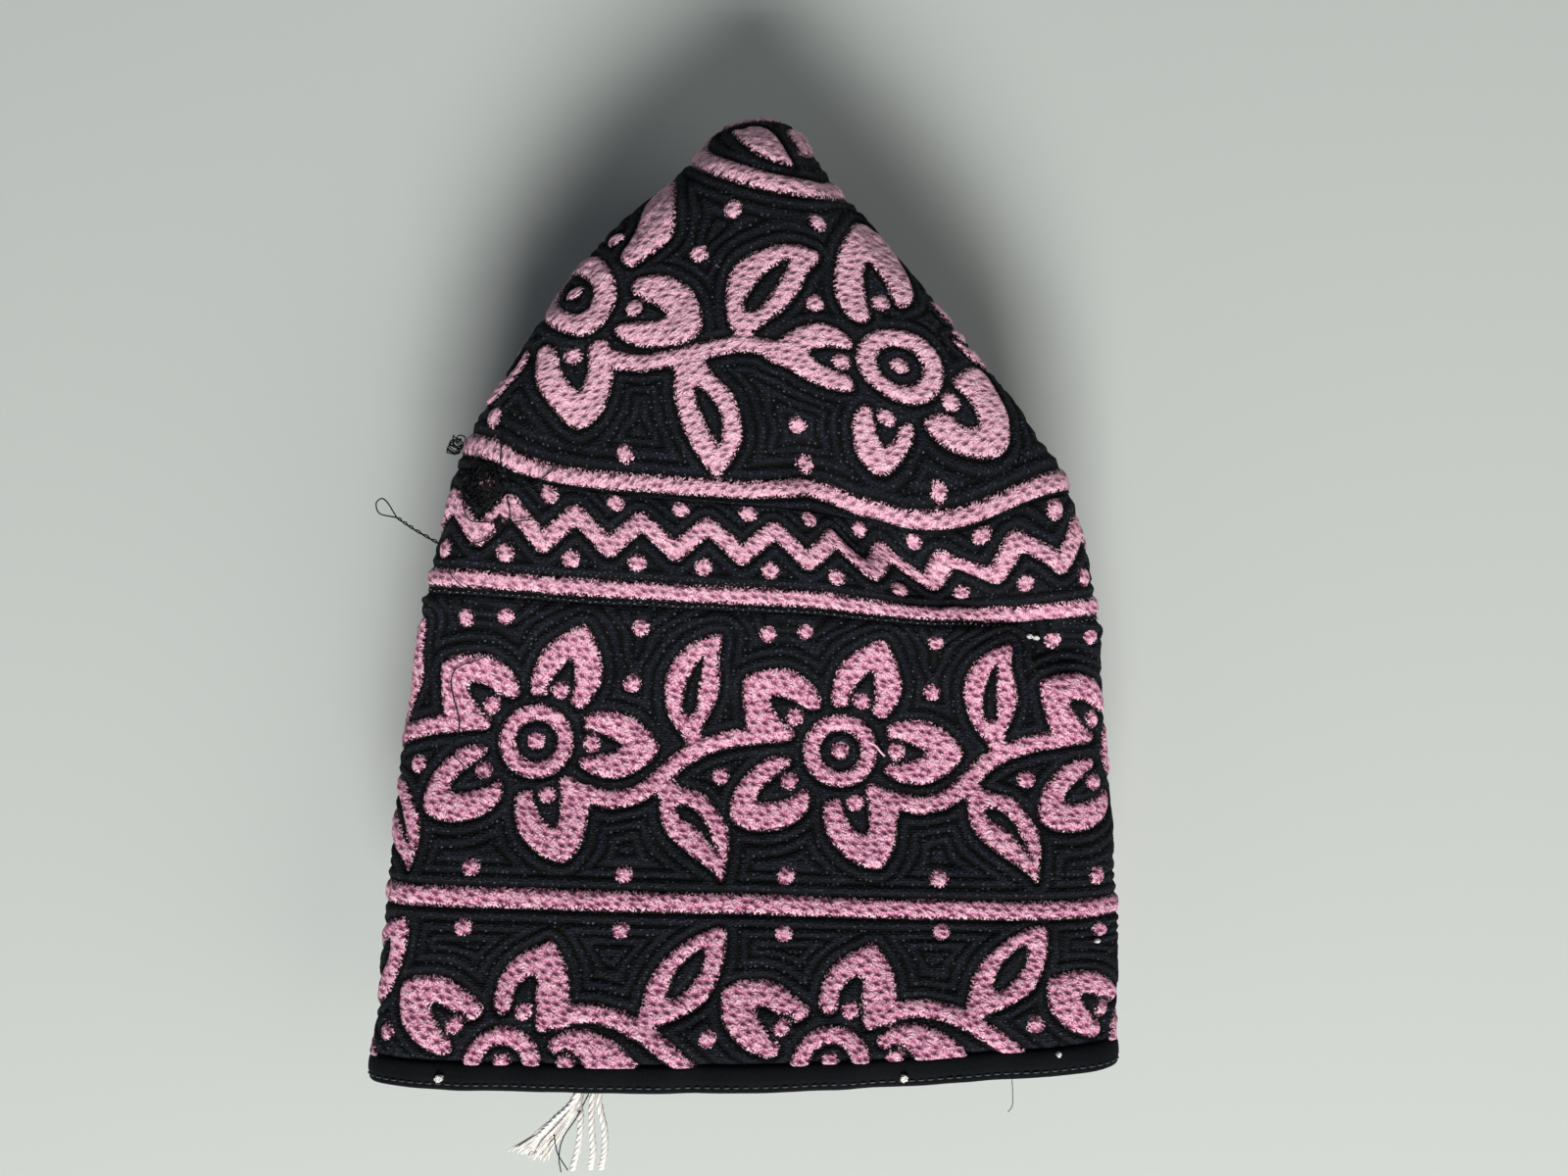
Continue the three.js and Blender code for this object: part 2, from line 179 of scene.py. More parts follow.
# Lower row, whose lower half the hem takes in. Its places are counted up from the rim.
LOWER_ROW = {
    "round": -0.735, "up": 0.0, "repeat": 61.4, "low": 0, "high": 40,
    "shapes": {
        "petal_left": [
            (-21.0, 15.7), (-21.0, 18.9), (-19.1, 20.3), (-15.3, 20.9), (-11.4, 20.3), (-7.8, 18.0),
            (-4.8, 15.4), (-5.2, 13.7), (-7.4, 13.1), (-10.0, 14.5), (-12.9, 16.0), (-14.7, 15.7),
            (-13.6, 13.4), (-11.4, 10.8), (-9.8, 9.0), (-9.8, 7.3), (-12.0, 6.7), (-16.6, 9.0),
            (-19.9, 12.5)],
        "petal_right": [
            (8.6, 9.2), (11.0, 11.2), (15.0, 11.8), (18.8, 10.8), (22.5, 8.7), (25.8, 4.6), (22.0, 1.0),
            (16.6, 3.2), (14.6, 7.1), (10.3, 7.4)],
        "petal_up": [
            (7.5, 27.6), (5.2, 27.0), (0.9, 24.7), (-2.1, 20.9), (-2.7, 16.0), (-0.6, 14.2), (0.8, 16.0),
            (0.9, 18.6), (3.5, 21.2), (5.1, 20.5), (5.2, 16.9), (5.6, 13.4), (6.6, 11.2), (9.0, 11.8),
            (11.9, 13.1), (12.4, 15.0), (11.6, 17.2), (10.6, 22.4)],
    },
    "pierced": {
        "leaf_up": ([
            (24.6, 12.2), (25.4, 16.6), (26.3, 20.6), (29.4, 25.3), (34.8, 29.4), (39.9, 31.0),
            (40.5, 27.3), (39.7, 22.7), (37.3, 17.2), (32.9, 14.2), (29.0, 12.6), (26.6, 11.0)],
            [(30.0, 18.2), (31.5, 22.9), (36.2, 27.0), (36.4, 23.5), (34.4, 20.1), (31.8, 17.5)]),
    },
    "stems": [
        [(10.4, 13.4), (12.6, 14.6), (16.6, 14.8), (21.6, 13.6), (27.0, 10.9), (32.0, 7.1), (37.0, 2.6)],
    ],
    "rings": [(0.0, 4.8, 4.0, 7.3)],
    "dots": [
        (0.0, 5.6), (-9.5, 12.1), (3.2, 14.8), (12.1, 5.6), (38.4, 10.2), (-9.9, 29.8), (20.3, 30.0)],
}
# Crown: millimetres from the middle of the flowers' circle, to the right and towards the rim. Each group's
# box is two corners of the flat round that it lies in.
CROWN_MIDDLE = (8.0, 1.6)
CROWN_FLOWERS = 5
CROWN_FLOWER = {
    "box": ((-12, 12), (50, 92)),
    "shapes": {
        "petal_up": [
            (10.7, 48.0), (7.5, 44.5), (6.7, 38.6), (7.9, 32.2), (10.5, 26.3), (12.2, 23.6), (14.6, 23.6),
            (17.6, 25.1), (19.6, 31.5), (20.8, 37.3), (20.7, 41.3), (18.8, 43.1), (17.2, 41.7), (15.9, 38.1),
            (12.8, 34.5), (11.9, 38.0), (12.4, 42.6), (13.1, 46.1)],
        "petal_left": [
            (-4.2, 55.6), (-2.7, 53.5), (0.4, 51.0), (3.8, 49.8), (7.1, 50.1), (9.7, 52.1), (9.5, 53.9),
            (5.5, 54.4), (2.0, 56.2), (3.8, 58.1), (6.5, 59.3), (8.9, 59.6), (10.0, 61.4), (9.6, 63.0),
            (6.3, 63.5), (1.8, 62.3), (-1.9, 60.2), (-6.0, 58.6)],
        "petal_down": [
            (11.7, 65.4), (9.7, 69.0), (10.3, 73.2), (13.4, 76.6), (16.5, 77.2), (19.3, 74.6), (20.6, 70.4),
            (20.2, 66.6), (18.2, 67.6), (17.6, 70.2), (15.9, 72.2), (13.9, 70.2), (13.5, 66.2)],
        "petal_down_right": [
            (27.6, 56.8), (28.8, 54.4), (31.8, 50.8), (34.4, 52.1), (36.5, 57.1), (38.6, 61.7), (39.3, 64.4),
            (37.5, 67.1), (33.8, 68.4), (29.2, 68.6), (24.8, 67.9), (22.3, 65.8), (23.4, 64.1), (26.4, 62.9),
            (29.3, 64.6), (31.9, 64.0), (32.0, 62.3), (30.5, 59.4), (29.3, 58.2)],
        "petal_up_right": [
            (27.9, 45.7), (30.6, 48.8), (34.4, 49.0), (39.0, 46.4), (42.0, 42.4), (42.2, 38.4), (39.4, 35.2),
            (34.6, 34.0), (29.2, 35.0), (25.0, 36.6), (25.4, 38.6), (27.9, 40.9), (31.0, 39.6), (35.6, 38.8),
            (36.6, 41.6), (33.4, 44.4)],
    },
    "rings": [(18.35, 55.3, 4.1, 7.6)],
    "dots": [
        (18.35, 55.3), (15.0, 42.8), (8.0, 57.1), (15.7, 66.7), (27.1, 60.5), (29.8, 43.4)],
}
CROWN_LEAVES = {
    "box": ((-50, 14), (42, 96)),
    "pierced": {
        "leaf_up": ([
            (-12.6, 57.4), (-11.2, 54.7), (-12.8, 51.6), (-13.3, 47.1), (-12.8, 42.7), (-10.8, 39.4),
            (-6.8, 36.9), (-2.5, 35.3), (1.6, 34.8), (4.1, 36.0), (1.6, 40.2), (-0.3, 44.7), (-3.3, 48.6),
            (-6.5, 51.6), (-8.4, 54.0), (-9.0, 57.0)],
            [(-10.0, 48.6), (-7.6, 48.8), (-3.3, 42.5), (-1.5, 38.2), (-5.5, 40.6), (-9.1, 45.3)]),
        "leaf_down": ([
            (-23.8, 58.6), (-22.9, 62.0), (-23.2, 66.7), (-21.1, 75.4), (-17.3, 83.0), (-15.0, 82.6),
            (-11.2, 77.6), (-10.9, 72.6), (-12.4, 66.6), (-15.8, 62.4), (-18.4, 58.6)],
            [(-19.3, 64.9), (-16.9, 66.4), (-14.5, 71.4), (-15.0, 77.6), (-17.2, 73.8), (-19.0, 68.6)]),
    },
    "stems": [
        [(-36.3, 56.5), (-33.1, 58.3), (-28.5, 59.4), (-21.9, 58.6), (-16.6, 57.2), (-11.3, 56.0),
         (-4.2, 56.2)],
    ],
    "dots": [(3.5, 29.3), (-12.3, 29.9), (-18.5, 37.8), (3.1, 45.8), (-0.4, 72.2), (1.8, 79.6), (27.4, 75.0)],
}
# The flower on the left of the crown is stitched less evenly than the others, so it has outlines of its own
CROWN_LEFT = {
    "box": ((-78, 4), (-6, 90)),
    "shapes": {
        "petal_up": [
            (-25.3, 16.6), (-24.0, 24.9), (-23.2, 30.5), (-23.9, 33.8), (-26.1, 35.9), (-28.6, 37.6),
            (-31.3, 39.1), (-33.2, 37.6), (-33.3, 35.4), (-31.7, 32.3), (-30.4, 28.6), (-29.8, 23.1),
            (-28.5, 19.2), (-26.6, 17.7)],
        "petal_right": [
            (-31.0, 42.9), (-29.6, 41.4), (-25.2, 41.4), (-21.6, 43.3), (-19.3, 45.7), (-17.9, 50.2),
            (-18.2, 53.4), (-20.6, 55.6), (-25.0, 56.2), (-29.3, 55.7), (-32.9, 53.6), (-33.9, 51.8),
            (-32.9, 50.7), (-30.0, 50.7), (-26.5, 50.9), (-24.3, 49.7), (-25.1, 48.6), (-27.3, 46.8),
            (-29.8, 45.7)],
        "petal_down": [
            (-48.1, 52.7), (-46.3, 52.3), (-44.8, 54.7), (-44.1, 57.9), (-42.7, 61.4), (-40.6, 64.1),
            (-39.6, 61.7), (-38.8, 58.5), (-38.7, 55.0), (-36.8, 53.6), (-35.0, 54.5), (-34.8, 57.2),
            (-34.5, 60.5), (-35.4, 65.5), (-37.1, 69.8), (-40.5, 71.8), (-43.3, 70.2), (-45.8, 66.3),
            (-47.9, 61.7), (-48.4, 56.5)],
        "petal_down_left": [
            (-50.2, 46.8), (-55.0, 48.4), (-59.6, 52.0), (-61.2, 56.6), (-59.4, 60.6), (-55.8, 61.4),
            (-52.4, 58.2), (-50.2, 53.6), (-50.4, 51.0), (-52.4, 53.4), (-55.0, 55.8), (-56.0, 53.4),
            (-52.6, 49.6)],
        "petal_up_left": [
            (-50.4, 37.0), (-54.0, 33.0), (-58.6, 30.6), (-62.6, 30.8), (-65.0, 33.6), (-64.4, 37.8),
            (-61.0, 41.0), (-56.4, 42.6), (-51.2, 42.8), (-51.0, 40.8), (-55.0, 39.6), (-58.4, 37.2),
            (-56.8, 35.4), (-53.2, 37.6)],
    },
    "pierced": {
        "ring": ([
            (-33.9, 44.0), (-35.4, 39.3), (-37.4, 35.0), (-40.3, 32.4), (-44.5, 33.0), (-47.6, 36.8),
            (-48.6, 41.2), (-47.0, 45.6), (-43.9, 50.4), (-40.1, 52.5), (-36.6, 51.1), (-34.5, 47.6)],
            [(-38.1, 43.4), (-39.3, 40.1), (-42.4, 35.9), (-44.8, 38.0), (-45.2, 41.4), (-44.1, 44.8),
             (-41.4, 47.8), (-38.9, 46.7)]),
    },
    "dots": [(-41.7, 42.3), (-30.4, 47.7), (-41.6, 56.3), (-34.6, 31.2), (-56.7, 64.8), (-33.3, 77.7)],
}
LEFT_COPY = 4  # turns of a fifth from the front flower to the one on its left
# The rosette in the middle of the crown: a ring with curved leaves in it, in mm from the ring's middle
ROSETTE = {"x": -5.2, "y": 8.6, "ring_in": 13.9, "ring_out": 17.5, "leaves": 3}
ROSETTE_LEAF = [
    (-8.2, 2.0), (-6.0, 2.6), (-4.0, 2.1), (-1.9, 2.3), (0.4, 4.0), (2.7, 7.6), (4.2, 10.3), (3.3, 11.1),
    (-1.4, 11.1), (-5.2, 8.1)]
DOT_RADIUS, DOT_GAP = 1.7, 0.9
STEM_WIDTH = 3.3
# Straight lines of embroidery round the cap: how far up the cloth, how wide, and how far they stray on the
# front, as repeats round and mm up
LINES = {
    "side": (35.4, 3.6, [(-0.8, 0.0), (0.0, 0.1), (0.33, -0.5), (0.81, -1.3), (0.97, -1.1), (1.5, 0.0)]),
    "border": (94.3, 3.1, [(0.66, 0.0), (0.84, -1.2), (0.98, -1.3), (1.18, 0.0)]),
    "crown": (115.8, 3.1, [
        (-1.3, 0.0), (-1.05, 1.2), (-0.89, 0.2), (-0.8, -0.9), (-0.68, -1.1), (-0.54, -0.8), (-0.36, -0.1),
        (-0.03, 0.1), (0.08, 0.9), (0.16, 1.6), (0.25, 1.0), (0.34, -0.4), (0.48, -0.9), (0.71, -0.9),
        (0.86, -1.1), (1.07, -0.9), (1.3, 0.0)]),
}
# Where the folds draw the embroidery aside on the front: places in repeats round, and repeats it is drawn by
UPPER_PULL = [(0.0, 0.0), (0.17, 0.01), (0.55, 0.022), (0.86, 0.036), (1.3, 0.04), (2.2, 0.0)]
ZIGZAG_PULL = [(0.0, 0.0), (0.16, 0.013), (0.36, 0.054), (0.54, 0.088), (0.74, 0.08), (1.0, 0.03), (1.3, 0.0)]
# Between these two places, in mm up the cloth, the drawing aside sets in
UPPER_PULL_UPS, ZIGZAG_PULL_UPS = (68, 86), (100, 111)
# The zigzag: how many teeth round the cap, the places of its points and of the dots in it, and its reach
ZIGZAG = {"teeth": 41, "low": 101.9, "high": 108.0, "width": 3.4, "phase": -4.2,
          "upper_dots": (1.4, 111.0), "lower_dots": (5.4, 99.4), "reach": (90, 120)}

# The hem: how many sides its section has, and how much wider its faces are than the cloth's
HEM_SIDES, HEM_COLUMN_SHARE = 32, 1.2
# How far it stands out in mm, how square its section is up the cloth and across it, and its slight waves as
# a height in mm, radians to a repeat for the quick and the slow one, and a start
HEM_PROUD, HEM_SQUARE_UP, HEM_SQUARE_OUT = 0.62, 0.85, 0.5
HEM_WAVE, HEM_WAVES = 0.1, (37.0, 11.3, 1.0)
HEM_LOWEST = 0.05  # mm up the cloth
# Its running stitch in a groove: depth and width of the groove, place, pitch, the share of the pitch that a
# stitch shows, its arch and its radius
HEM_GROOVE, HEM_GROOVE_WIDTH, HEM_STITCH_UP, HEM_STITCH_PITCH = 0.28, 0.4, 1.35, 1.8
HEM_STITCH_SHOWN, HEM_STITCH_ARCH, HEM_STITCH_RADIUS = (0.1, 0.68), 0.16, 0.17
STITCH_STEPS = 5
# Seam stitches: pitch, shares of it that one is long and strays, and how far it lies and strays from the line
SEAM_STITCH_PITCH, SEAM_STITCH_LENGTH, SEAM_STITCH_STRAY = 1.25, (0.15, 0.3), 0.15
SEAM_STITCH_OFF, SEAM_STITCH_ASIDE = 0.9, 0.2
# How far the middle of one stands out, and how much that changes round the cap, in mm. Its ends are sunk.
SEAM_STITCH_OUT, SEAM_STITCH_CHANGE, SEAM_STITCH_SINK, SEAM_STITCH_RADIUS = (-0.4, 0.2), 0.25, -0.2, 0.1

NO_THREAD_RUNS = (0.13, 0.22, 0.97)  # a direction that no thread runs in
# Seeds of the random numbers
SEAM_SEED, BLACK_SEED, WHITE_SEED, LINT_SEED = 11, 5, 8, 3

# Loose threads that lie on the cloth: places as repeats round and millimetres up
THREAD_RADIUS = 0.13
STRAND_LIFT = 0.95  # mm over the cloth's plain form
BLACK_STRANDS = {
    "crown_line_left": [(-0.859, 118.0), (-0.865, 114.5), (-0.848, 112.5), (-0.833, 110.2)],
    "crown_line_right": [(-0.68, 116.4), (-0.698, 115.1), (-0.721, 114.0), (-0.742, 112.5), (-0.80, 111.0)],
    "border_line": [
        (-1.036, 97.0), (-1.029, 95.3), (-1.013, 94.2), (-0.974, 92.7), (-0.908, 92.4), (-0.87, 92.0)],
    "under_tangle": [(-1.0, 108.0), (-0.998, 106.4), (-0.972, 104.4), (-0.916, 104.4), (-0.879, 104.4)],
    "tangle_right": [(-0.879, 104.4), (-0.851, 104.7), (-0.841, 106.4), (-0.85, 109.0)],
    "knot_right": [(-0.87, 104.4), (-0.851, 104.7), (-0.796, 105.5), (-0.736, 106.4)],
    "knot_down": [(-0.866, 103.8), (-0.898, 102.3), (-0.928, 101.2), (-0.96, 100.6)],
    "petals": [
        (-0.90, 80.6), (-0.932, 79.7), (-0.972, 78.8), (-0.996, 77.6), (-1.006, 75.3), (-0.997, 72.7),
        (-0.982, 70.1), (-0.971, 66.9), (-0.986, 63.1), (-0.979, 61.3), (-0.964, 60.5), (-0.929, 58.7),
        (-0.896, 57.8), (-0.873, 56.7), (-0.848, 55.8), (-0.818, 55.5)],
}
# Tangles: the place, the size in mm, how many loops, and the lift in mm
TANGLES = [((-0.935, 110.2), 3.2, 9, 0.8), ((-0.878, 104.3), 1.1, 4, 1.2), ((-1.058, 116.2), 1.1, 3, 3.0)]
# A tangle's loops: points in each, waves in each, how much smaller the quicker waves are, the sizes it is
# held in, and the shares of its lift that are even and that vary
TANGLE_POINTS = 73
TANGLE_WAVES, TANGLE_FALL, TANGLE_HOLD, TANGLE_LIFT = 4, 0.7, 1.5, (0.6, 0.4)
# Threads off the cloth: places in millimetres
LOOP_STRETCH = [(-56.5, 8.4, 44.0), (-59.4, 9.3, 40.5), (-65.9, 12.4, 34.5), (-70.7, 15.2, 31.0)]
LOOP_EYE = [
    (-72.4, 17.9, 30.6), (-73.6, 18.8, 30.4), (-74.7, 18.0, 30.4), (-74.6, 16.6, 30.4), (-73.7, 15.6, 30.5)]
# How often its two lines twist round each other, how far apart they are, how far out of step the third
# direction is in radians, and how much thicker the thread is
LOOP_TWISTS, LOOP_TWIST_REACH, LOOP_OUT_OF_STEP, LOOP_THICKER = 5, 0.24, 1.6, 1.15
HEM_HAIR_SHARE = 0.6  # of a sewing thread's radius
HEM_HAIR = [(50.4, -91.0, 52.0), (50.7, -94.6, 51.0), (50.9, -97.4, 49.0), (50.6, -99.6, 46.0)]
# White threads from inside the rim: places in mm. Each is three plies wound round each other.
WHITE_STRANDS = {
    "left": [(-29.5, -86.0, 50.5), (-31.4, -94.5, 52.0), (-35.2, -98.6, 52.2), (-38.6, -102.2, 51.8)],
    "middle": [(-30.6, -86.0, 50.0), (-30.8, -94.5, 51.6), (-30.3, -98.6, 52.6), (-30.7, -103.4, 52.8),
               (-31.9, -108.0, 52.4)],
    "right": [(-27.6, -86.0, 50.0), (-28.3, -94.5, 51.6), (-28.3, -99.8, 52.4), (-28.0, -104.6, 52.6),
              (-28.6, -108.0, 52.0)],
    "far_right": [(-26.0, -86.0, 50.0), (-27.0, -94.5, 51.8), (-25.9, -100.4, 52.4), (-25.9, -104.8, 52.4),
                  (-26.6, -108.0, 52.0)],
}
# Their plies: how many, their radius, how far from the middle line they wind, and how many turns they make
PLIES, PLY_RADIUS, PLY_REACH, PLY_TURNS = 3, 0.36, 0.3, 5
# Where threads have come apart: places, how many fibres, and their spread at both ends
FRAYED_ENDS = {
    "left": ([(-36.0, -99.4, 52.2), (-38.4, -102.0, 51.8), (-42.6, -105.6, 51.0)], 30, 0.5, 1.9),
    "below": ([(-30.0, -94.0, 49.0), (-33.4, -99.4, 49.4), (-37.0, -104.0, 49.2), (-39.4, -107.2, 49.0)],
              70, 0.7, 2.4),
}
# A fibre's radius and sway, how flat the bundle is in y and z, how the bundle widens along its length, and
# how many steps short a fibre may end
FIBRE_RADIUS, FIBRE_SWAY, BUNDLE_Y, BUNDLE_Z, FRAY_POWER, FIBRE_CUT = 0.13, 0.25, -0.3, 0.5, 1.5, 6
CROSSING_THREADS = [
    [(-29.0, -94.5, 50.0), (-31.0, -98.0, 53.6), (-33.4, -101.6, 53.8), (-34.2, -105.2, 53.6),
     (-33.9, -108.2, 53.2)],
    [(-35.2, -101.2, 53.2), (-34.4, -104.4, 54.0), (-32.6, -107.8, 53.4)],
]
# Bits of lint: repeats round, millimetres up, and size in millimetres
LINT = [
    (-0.921, 2.5, 0.5), (0.485, 1.9, 0.5), (0.906, 88.2, 0.4), (0.93, 88.0, 0.4), (1.082, 27.3, 0.28),
    (0.959, 4.4, 0.3)]
LINT_RADIUS, LINT_LOOPS, LINT_LIFT = 0.12, 9, 1.4
LOOSE_PINK = [(0.37, 66.9), (0.384, 66.6), (0.398, 66.0), (0.409, 65.1), (0.423, 64.2)]
LOOSE_PINK_LIFT, LOOSE_PINK_RADIUS = 1.0, 0.2

# The stage: lights with their places in metres, sizes, powers and tints, all aimed at the middle
SKY, SKY_STRENGTH = "dfe6ec", 0.085
LIGHTS = [
    ("window", (0.05, -1.2, 1.08), 0.62, 32.5, "fffaf6"),
    ("room_left", (-1.4, -0.5, 1.3), 1.4, 1.5, "eef3ff"),
    ("room_right", (1.5, -0.2, 1.4), 1.4, 8.0, "fffaf4"),
]
# The camera: its height over the table and the width that it sees there, in metres, its sensor in mm, and
# the nearest it sees, in metres
CAMERA_HEIGHT, VIEW_WIDTH, SENSOR_WIDTH, NEAREST_SEEN = 0.324, 0.3499, 36, 0.01
TABLE_SIZE = 6  # metres

# Quilting: rounded cords that follow the embroidery's edge
QUILT_START = 0.45  # mm from the thread's edge to the first cord
QUILT_FULLNESS = 1.2  # power of the half sine: smaller is fuller, with a narrower groove
QUILT_LEVEL = 0.45  # share of a cord's height that lies under the plain form
# A line of quilting strays by this many mm, in waves up the cloth and out from the thread (radians to the
# mm), and not until it is this far from the thread
QUILT_WANDER, WANDER_UP, WANDER_OUT, WANDER_FROM, WANDER_FULL = 0.35, 0.9, 0.4, 2, 6
QUILT_RELIEF = 0.45  # mm of the cords' height that the material adds
KNIT_RELIEF = 0.6  # mm between the hollows and the tops of the knit's grain
COARSE_SHARE = 0.3  # share of a cord's height that the coarse mesh behind carries
COARSE_BLEND = 0.1  # repeats over which the finer and the coarser mesh's cords meet
THREAD_SINK, THREAD_ROOM = 0.3, 0.3  # mm that the cloth lies low under the thread and this far round it
SEAM_WIDTH, SEAM_DEPTH, CROWN_SEAM_DEPTH = 1.2, 0.45, 0.15  # mm from a seam that the cloth dips, and how low
# The ledge where the tall band bulges just under the seam with the zigzag band
LEDGE_UP, LEDGE_WIDTH, LEDGE_HEIGHT = 89.6, 1.1, 0.55

# Raised thread: its rounding and how far its foot is sunk, in mm, and the slope outside its edge
PAD_ROUNDING, PAD_SINK, PAD_FALL = 0.45, 0.12, 0.5
# How its surface undulates: waves across and up, in radians to the mm, and their start
TUFT_WAVES = [(2.1, 1.3, 0.0), (-1.7, 2.3, 1.9), (0.6, -3.1, 4.2), (3.3, 0.4, 2.7)]
TUFT_HEIGHT = 0.05  # mm
TUFT_FROM, TUFT_FULL = 0.2, 0.8  # mm in from the thread's edge where the undulation sets in
TOOTH_REACH = 0.42  # mm that single threads reach past the drawn edge, at the most

PAD_MARGIN = 0.4  # mm that embroidery runs under the hem, and that it stops short of the crown's seam
PAD_UNDER_LEDGE = 1  # mm that it ends below the tall band's upper seam

# Patterns of the materials, as how many go to a millimetre
KNIT_PER_MM = 2.0
GRAIN_PER_MM = 1.9
CLOUDS_PER_MM = 0.12
QUILT_STITCHES_PER_MM = 1.0
SPECKS_PER_MM = 0.22
TEETH_PER_MM = 2.4
THREAD_FIBRES_PER_MM = 1.5
# The slant in radians, and how many go to a millimetre each way
EMBROIDERY_FIBRES = {"Rotation": (0, 0, 0.6), "Scale": (3.4, 1.9, 1)}
BINDING_WEAVE = {"Rotation": (0, 0, 0.78), "Scale": (2.6, 1.1, 1)}
TABLE_CLOUDS_PER_M = 3.0
# Streaks to a stitch in a tuft, and how far apart in the pattern two tufts are
TUFT_STREAKS, TUFT_APART = (2.6, 2.6, 0.0), 40.0
# Painted sheen: the thread is painted paler towards the crown, between these places in y, in mm, by this
# share
CROWN_SHEEN_FROM, CROWN_SHEEN_TO, CROWN_SHEEN_BY = -20, 30, 0.42
THREAD_RELIEF, BINDING_RELIEF, FIBRE_RELIEF = 0.5, 0.3, 0.1  # mm
# A sum in a material that is held between 0 and 1
PRODUCT = {"operation": "MULTIPLY", "use_clamp": True}

# Meshes: repeats on each side of the front's middle that have the fine mesh, rows in mm, and how much
# coarser the inner face and the embroidery behind are
FRONT_ROUNDS = 1.45
SHEET_ROW, CROWN_SHEET_ROW, INNER_ROW = 0.57, 0.62, 2.6
INNER_SHARE = 4
FAR_PAD_SHARE = 1.75
CHART_STEP, ZIGZAG_CHART_STEP = 0.3, 0.2
CHART_END = 1.001  # steps that a chart is read short of its end
FAR_AWAY = 40.0  # mm to the embroidery where a chart has none
# What the cloth's inner face carries in place of the cords' count and the distance to the thread
PLAIN_CORDS, PLAIN_EDGE = 0.25, 9.0
# The crown's sheets end just under the tip, where a fan of triangles closes them
OUTER_STOP, INNER_STOP = 202.6, 196.0
INNER_TIP_RISE = 1.2  # mm from the last row of the inner face to its tip
FADE_FROM, FADE_TO = 192, 202  # the quilting fades out between these near the tip
THIN_FROM, THIN_BY = 180, 0.9  # and the wall gets thinner there, as the folds meet

# Colours of the cloth, the threads and the table, as sRGB hex values
BLACK_CLOTH = "070a11"
# Partly wear and partly a painted highlight on the tops of the quilted cords
BLACK_CLOTH_WORN_AND_LIT = "292e39"
GROOVE_SHADE_BLACK = "040506"
# Painted shade: the black that the grooves between the cords, and the cloth round the thread's edge, darken
# to
GREY_POINT = "555e70"
PALE_SPECK = "8d9299"
BLACK_BINDING = "020306"
BINDING_WORN = "0b0f15"
BLACK_THREAD = "040506"
PINK_THREAD = "f2a2c6"
PINK_LIGHT = "ffd6e6"
# Painted shade of the pink thread: in the stitch holes and on its unlit streaks
PINK_SHADED = "8c3a64"
BLACK_FIBRE = "121418"
WHITE_FIBRE = "dcdad2"
WHITE_THREAD = "fbfaf6"
GLASSY_THREAD = "8f969e"
LINT_WHITE = "eceeee"
TOPSTITCH = "39424c"
TABLE = "c9d1cf"
TABLE_SHADE = "bfc6c3"


def linear(hex_colour):
    """The linear colour of an sRGB hex value: in proportion to it near black, and by a power above that."""
    parts = [int(hex_colour[i:i + 2], 16) / 255 for i in (0, 2, 4)]
    return tuple(c / 12.92 if c <= 0.04045 else ((c + 0.055) / 1.055) ** 2.4 for c in parts) + (1.0,)


class KummaSizes(bpy.types.PropertyGroup):
    """Sizes of the finish, in millimetres."""
    quilt_pitch: bpy.props.FloatProperty(
        name="Quilt pitch", description="Distance between two lines of quilting, in mm", default=2.1, min=1)
    quilt_height: bpy.props.FloatProperty(
        name="Quilt height", description="How far a quilted ridge stands up, in mm",
        default=0.55, min=0)
    pad_height: bpy.props.FloatProperty(
        name="Embroidery height", description="How far the embroidery stands up, in mm",
        default=0.58, min=0)
    stitch_width: bpy.props.FloatProperty(
        name="Stitch width", description="Distance between two stitches in a row, in mm",
        default=2.1, min=0.5)
    stitch_row: bpy.props.FloatProperty(
        name="Stitch row", description="Distance between two rows of stitches, in mm", default=1.8, min=0.5)
    front_step: bpy.props.FloatProperty(
        name="Front step", description="Mesh step of the cloth on the front panel, in mm",
        default=0.62, min=0.3)
    far_step: bpy.props.FloatProperty(
        name="Far step", description="Mesh step of the cloth elsewhere, in mm", default=1.3, min=0.3)
    pad_step: bpy.props.FloatProperty(
        name="Embroidery step", description="Mesh step of the embroidery on the front, in mm",
        default=0.46, min=0.2)


class KummaColours(bpy.types.PropertyGroup):
    """Colours of the cloth, the threads and the table."""
    cloth: bpy.props.FloatVectorProperty(
        name="Cloth", description="Black cotton", size=4, subtype="COLOR", default=linear(BLACK_CLOTH))
    # Raised cloth: partly wear and partly a painted highlight on the cords' tops
    worn: bpy.props.FloatVectorProperty(
        name="Raised cloth", description="Cotton on the ridges", size=4, subtype="COLOR",
        default=linear(BLACK_CLOTH_WORN_AND_LIT))
    thread: bpy.props.FloatVectorProperty(
        name="Embroidery", description="Pink rayon thread", size=4, subtype="COLOR",
        default=linear(PINK_THREAD))
    light: bpy.props.FloatVectorProperty(
        name="Embroidery, light", description="Thread that catches the light", size=4, subtype="COLOR",
        default=linear(PINK_LIGHT))
    # Painted shade: the thread in the stitch holes and on its unlit streaks
    shaded: bpy.props.FloatVectorProperty(
        name="Embroidery, dark", description="Thread down in the stitch holes", size=4, subtype="COLOR",
        default=linear(PINK_SHADED))
    table: bpy.props.FloatVectorProperty(
        name="Table", description="Pale table top", size=4, subtype="COLOR", default=linear(TABLE))


def smooth_step(low, high, value):
    """0 below low, 1 above high, and a smooth cubic between them."""
    t = np.clip((value - low) / (high - low), 0, 1)
    return t * t * (3 - 2 * t)


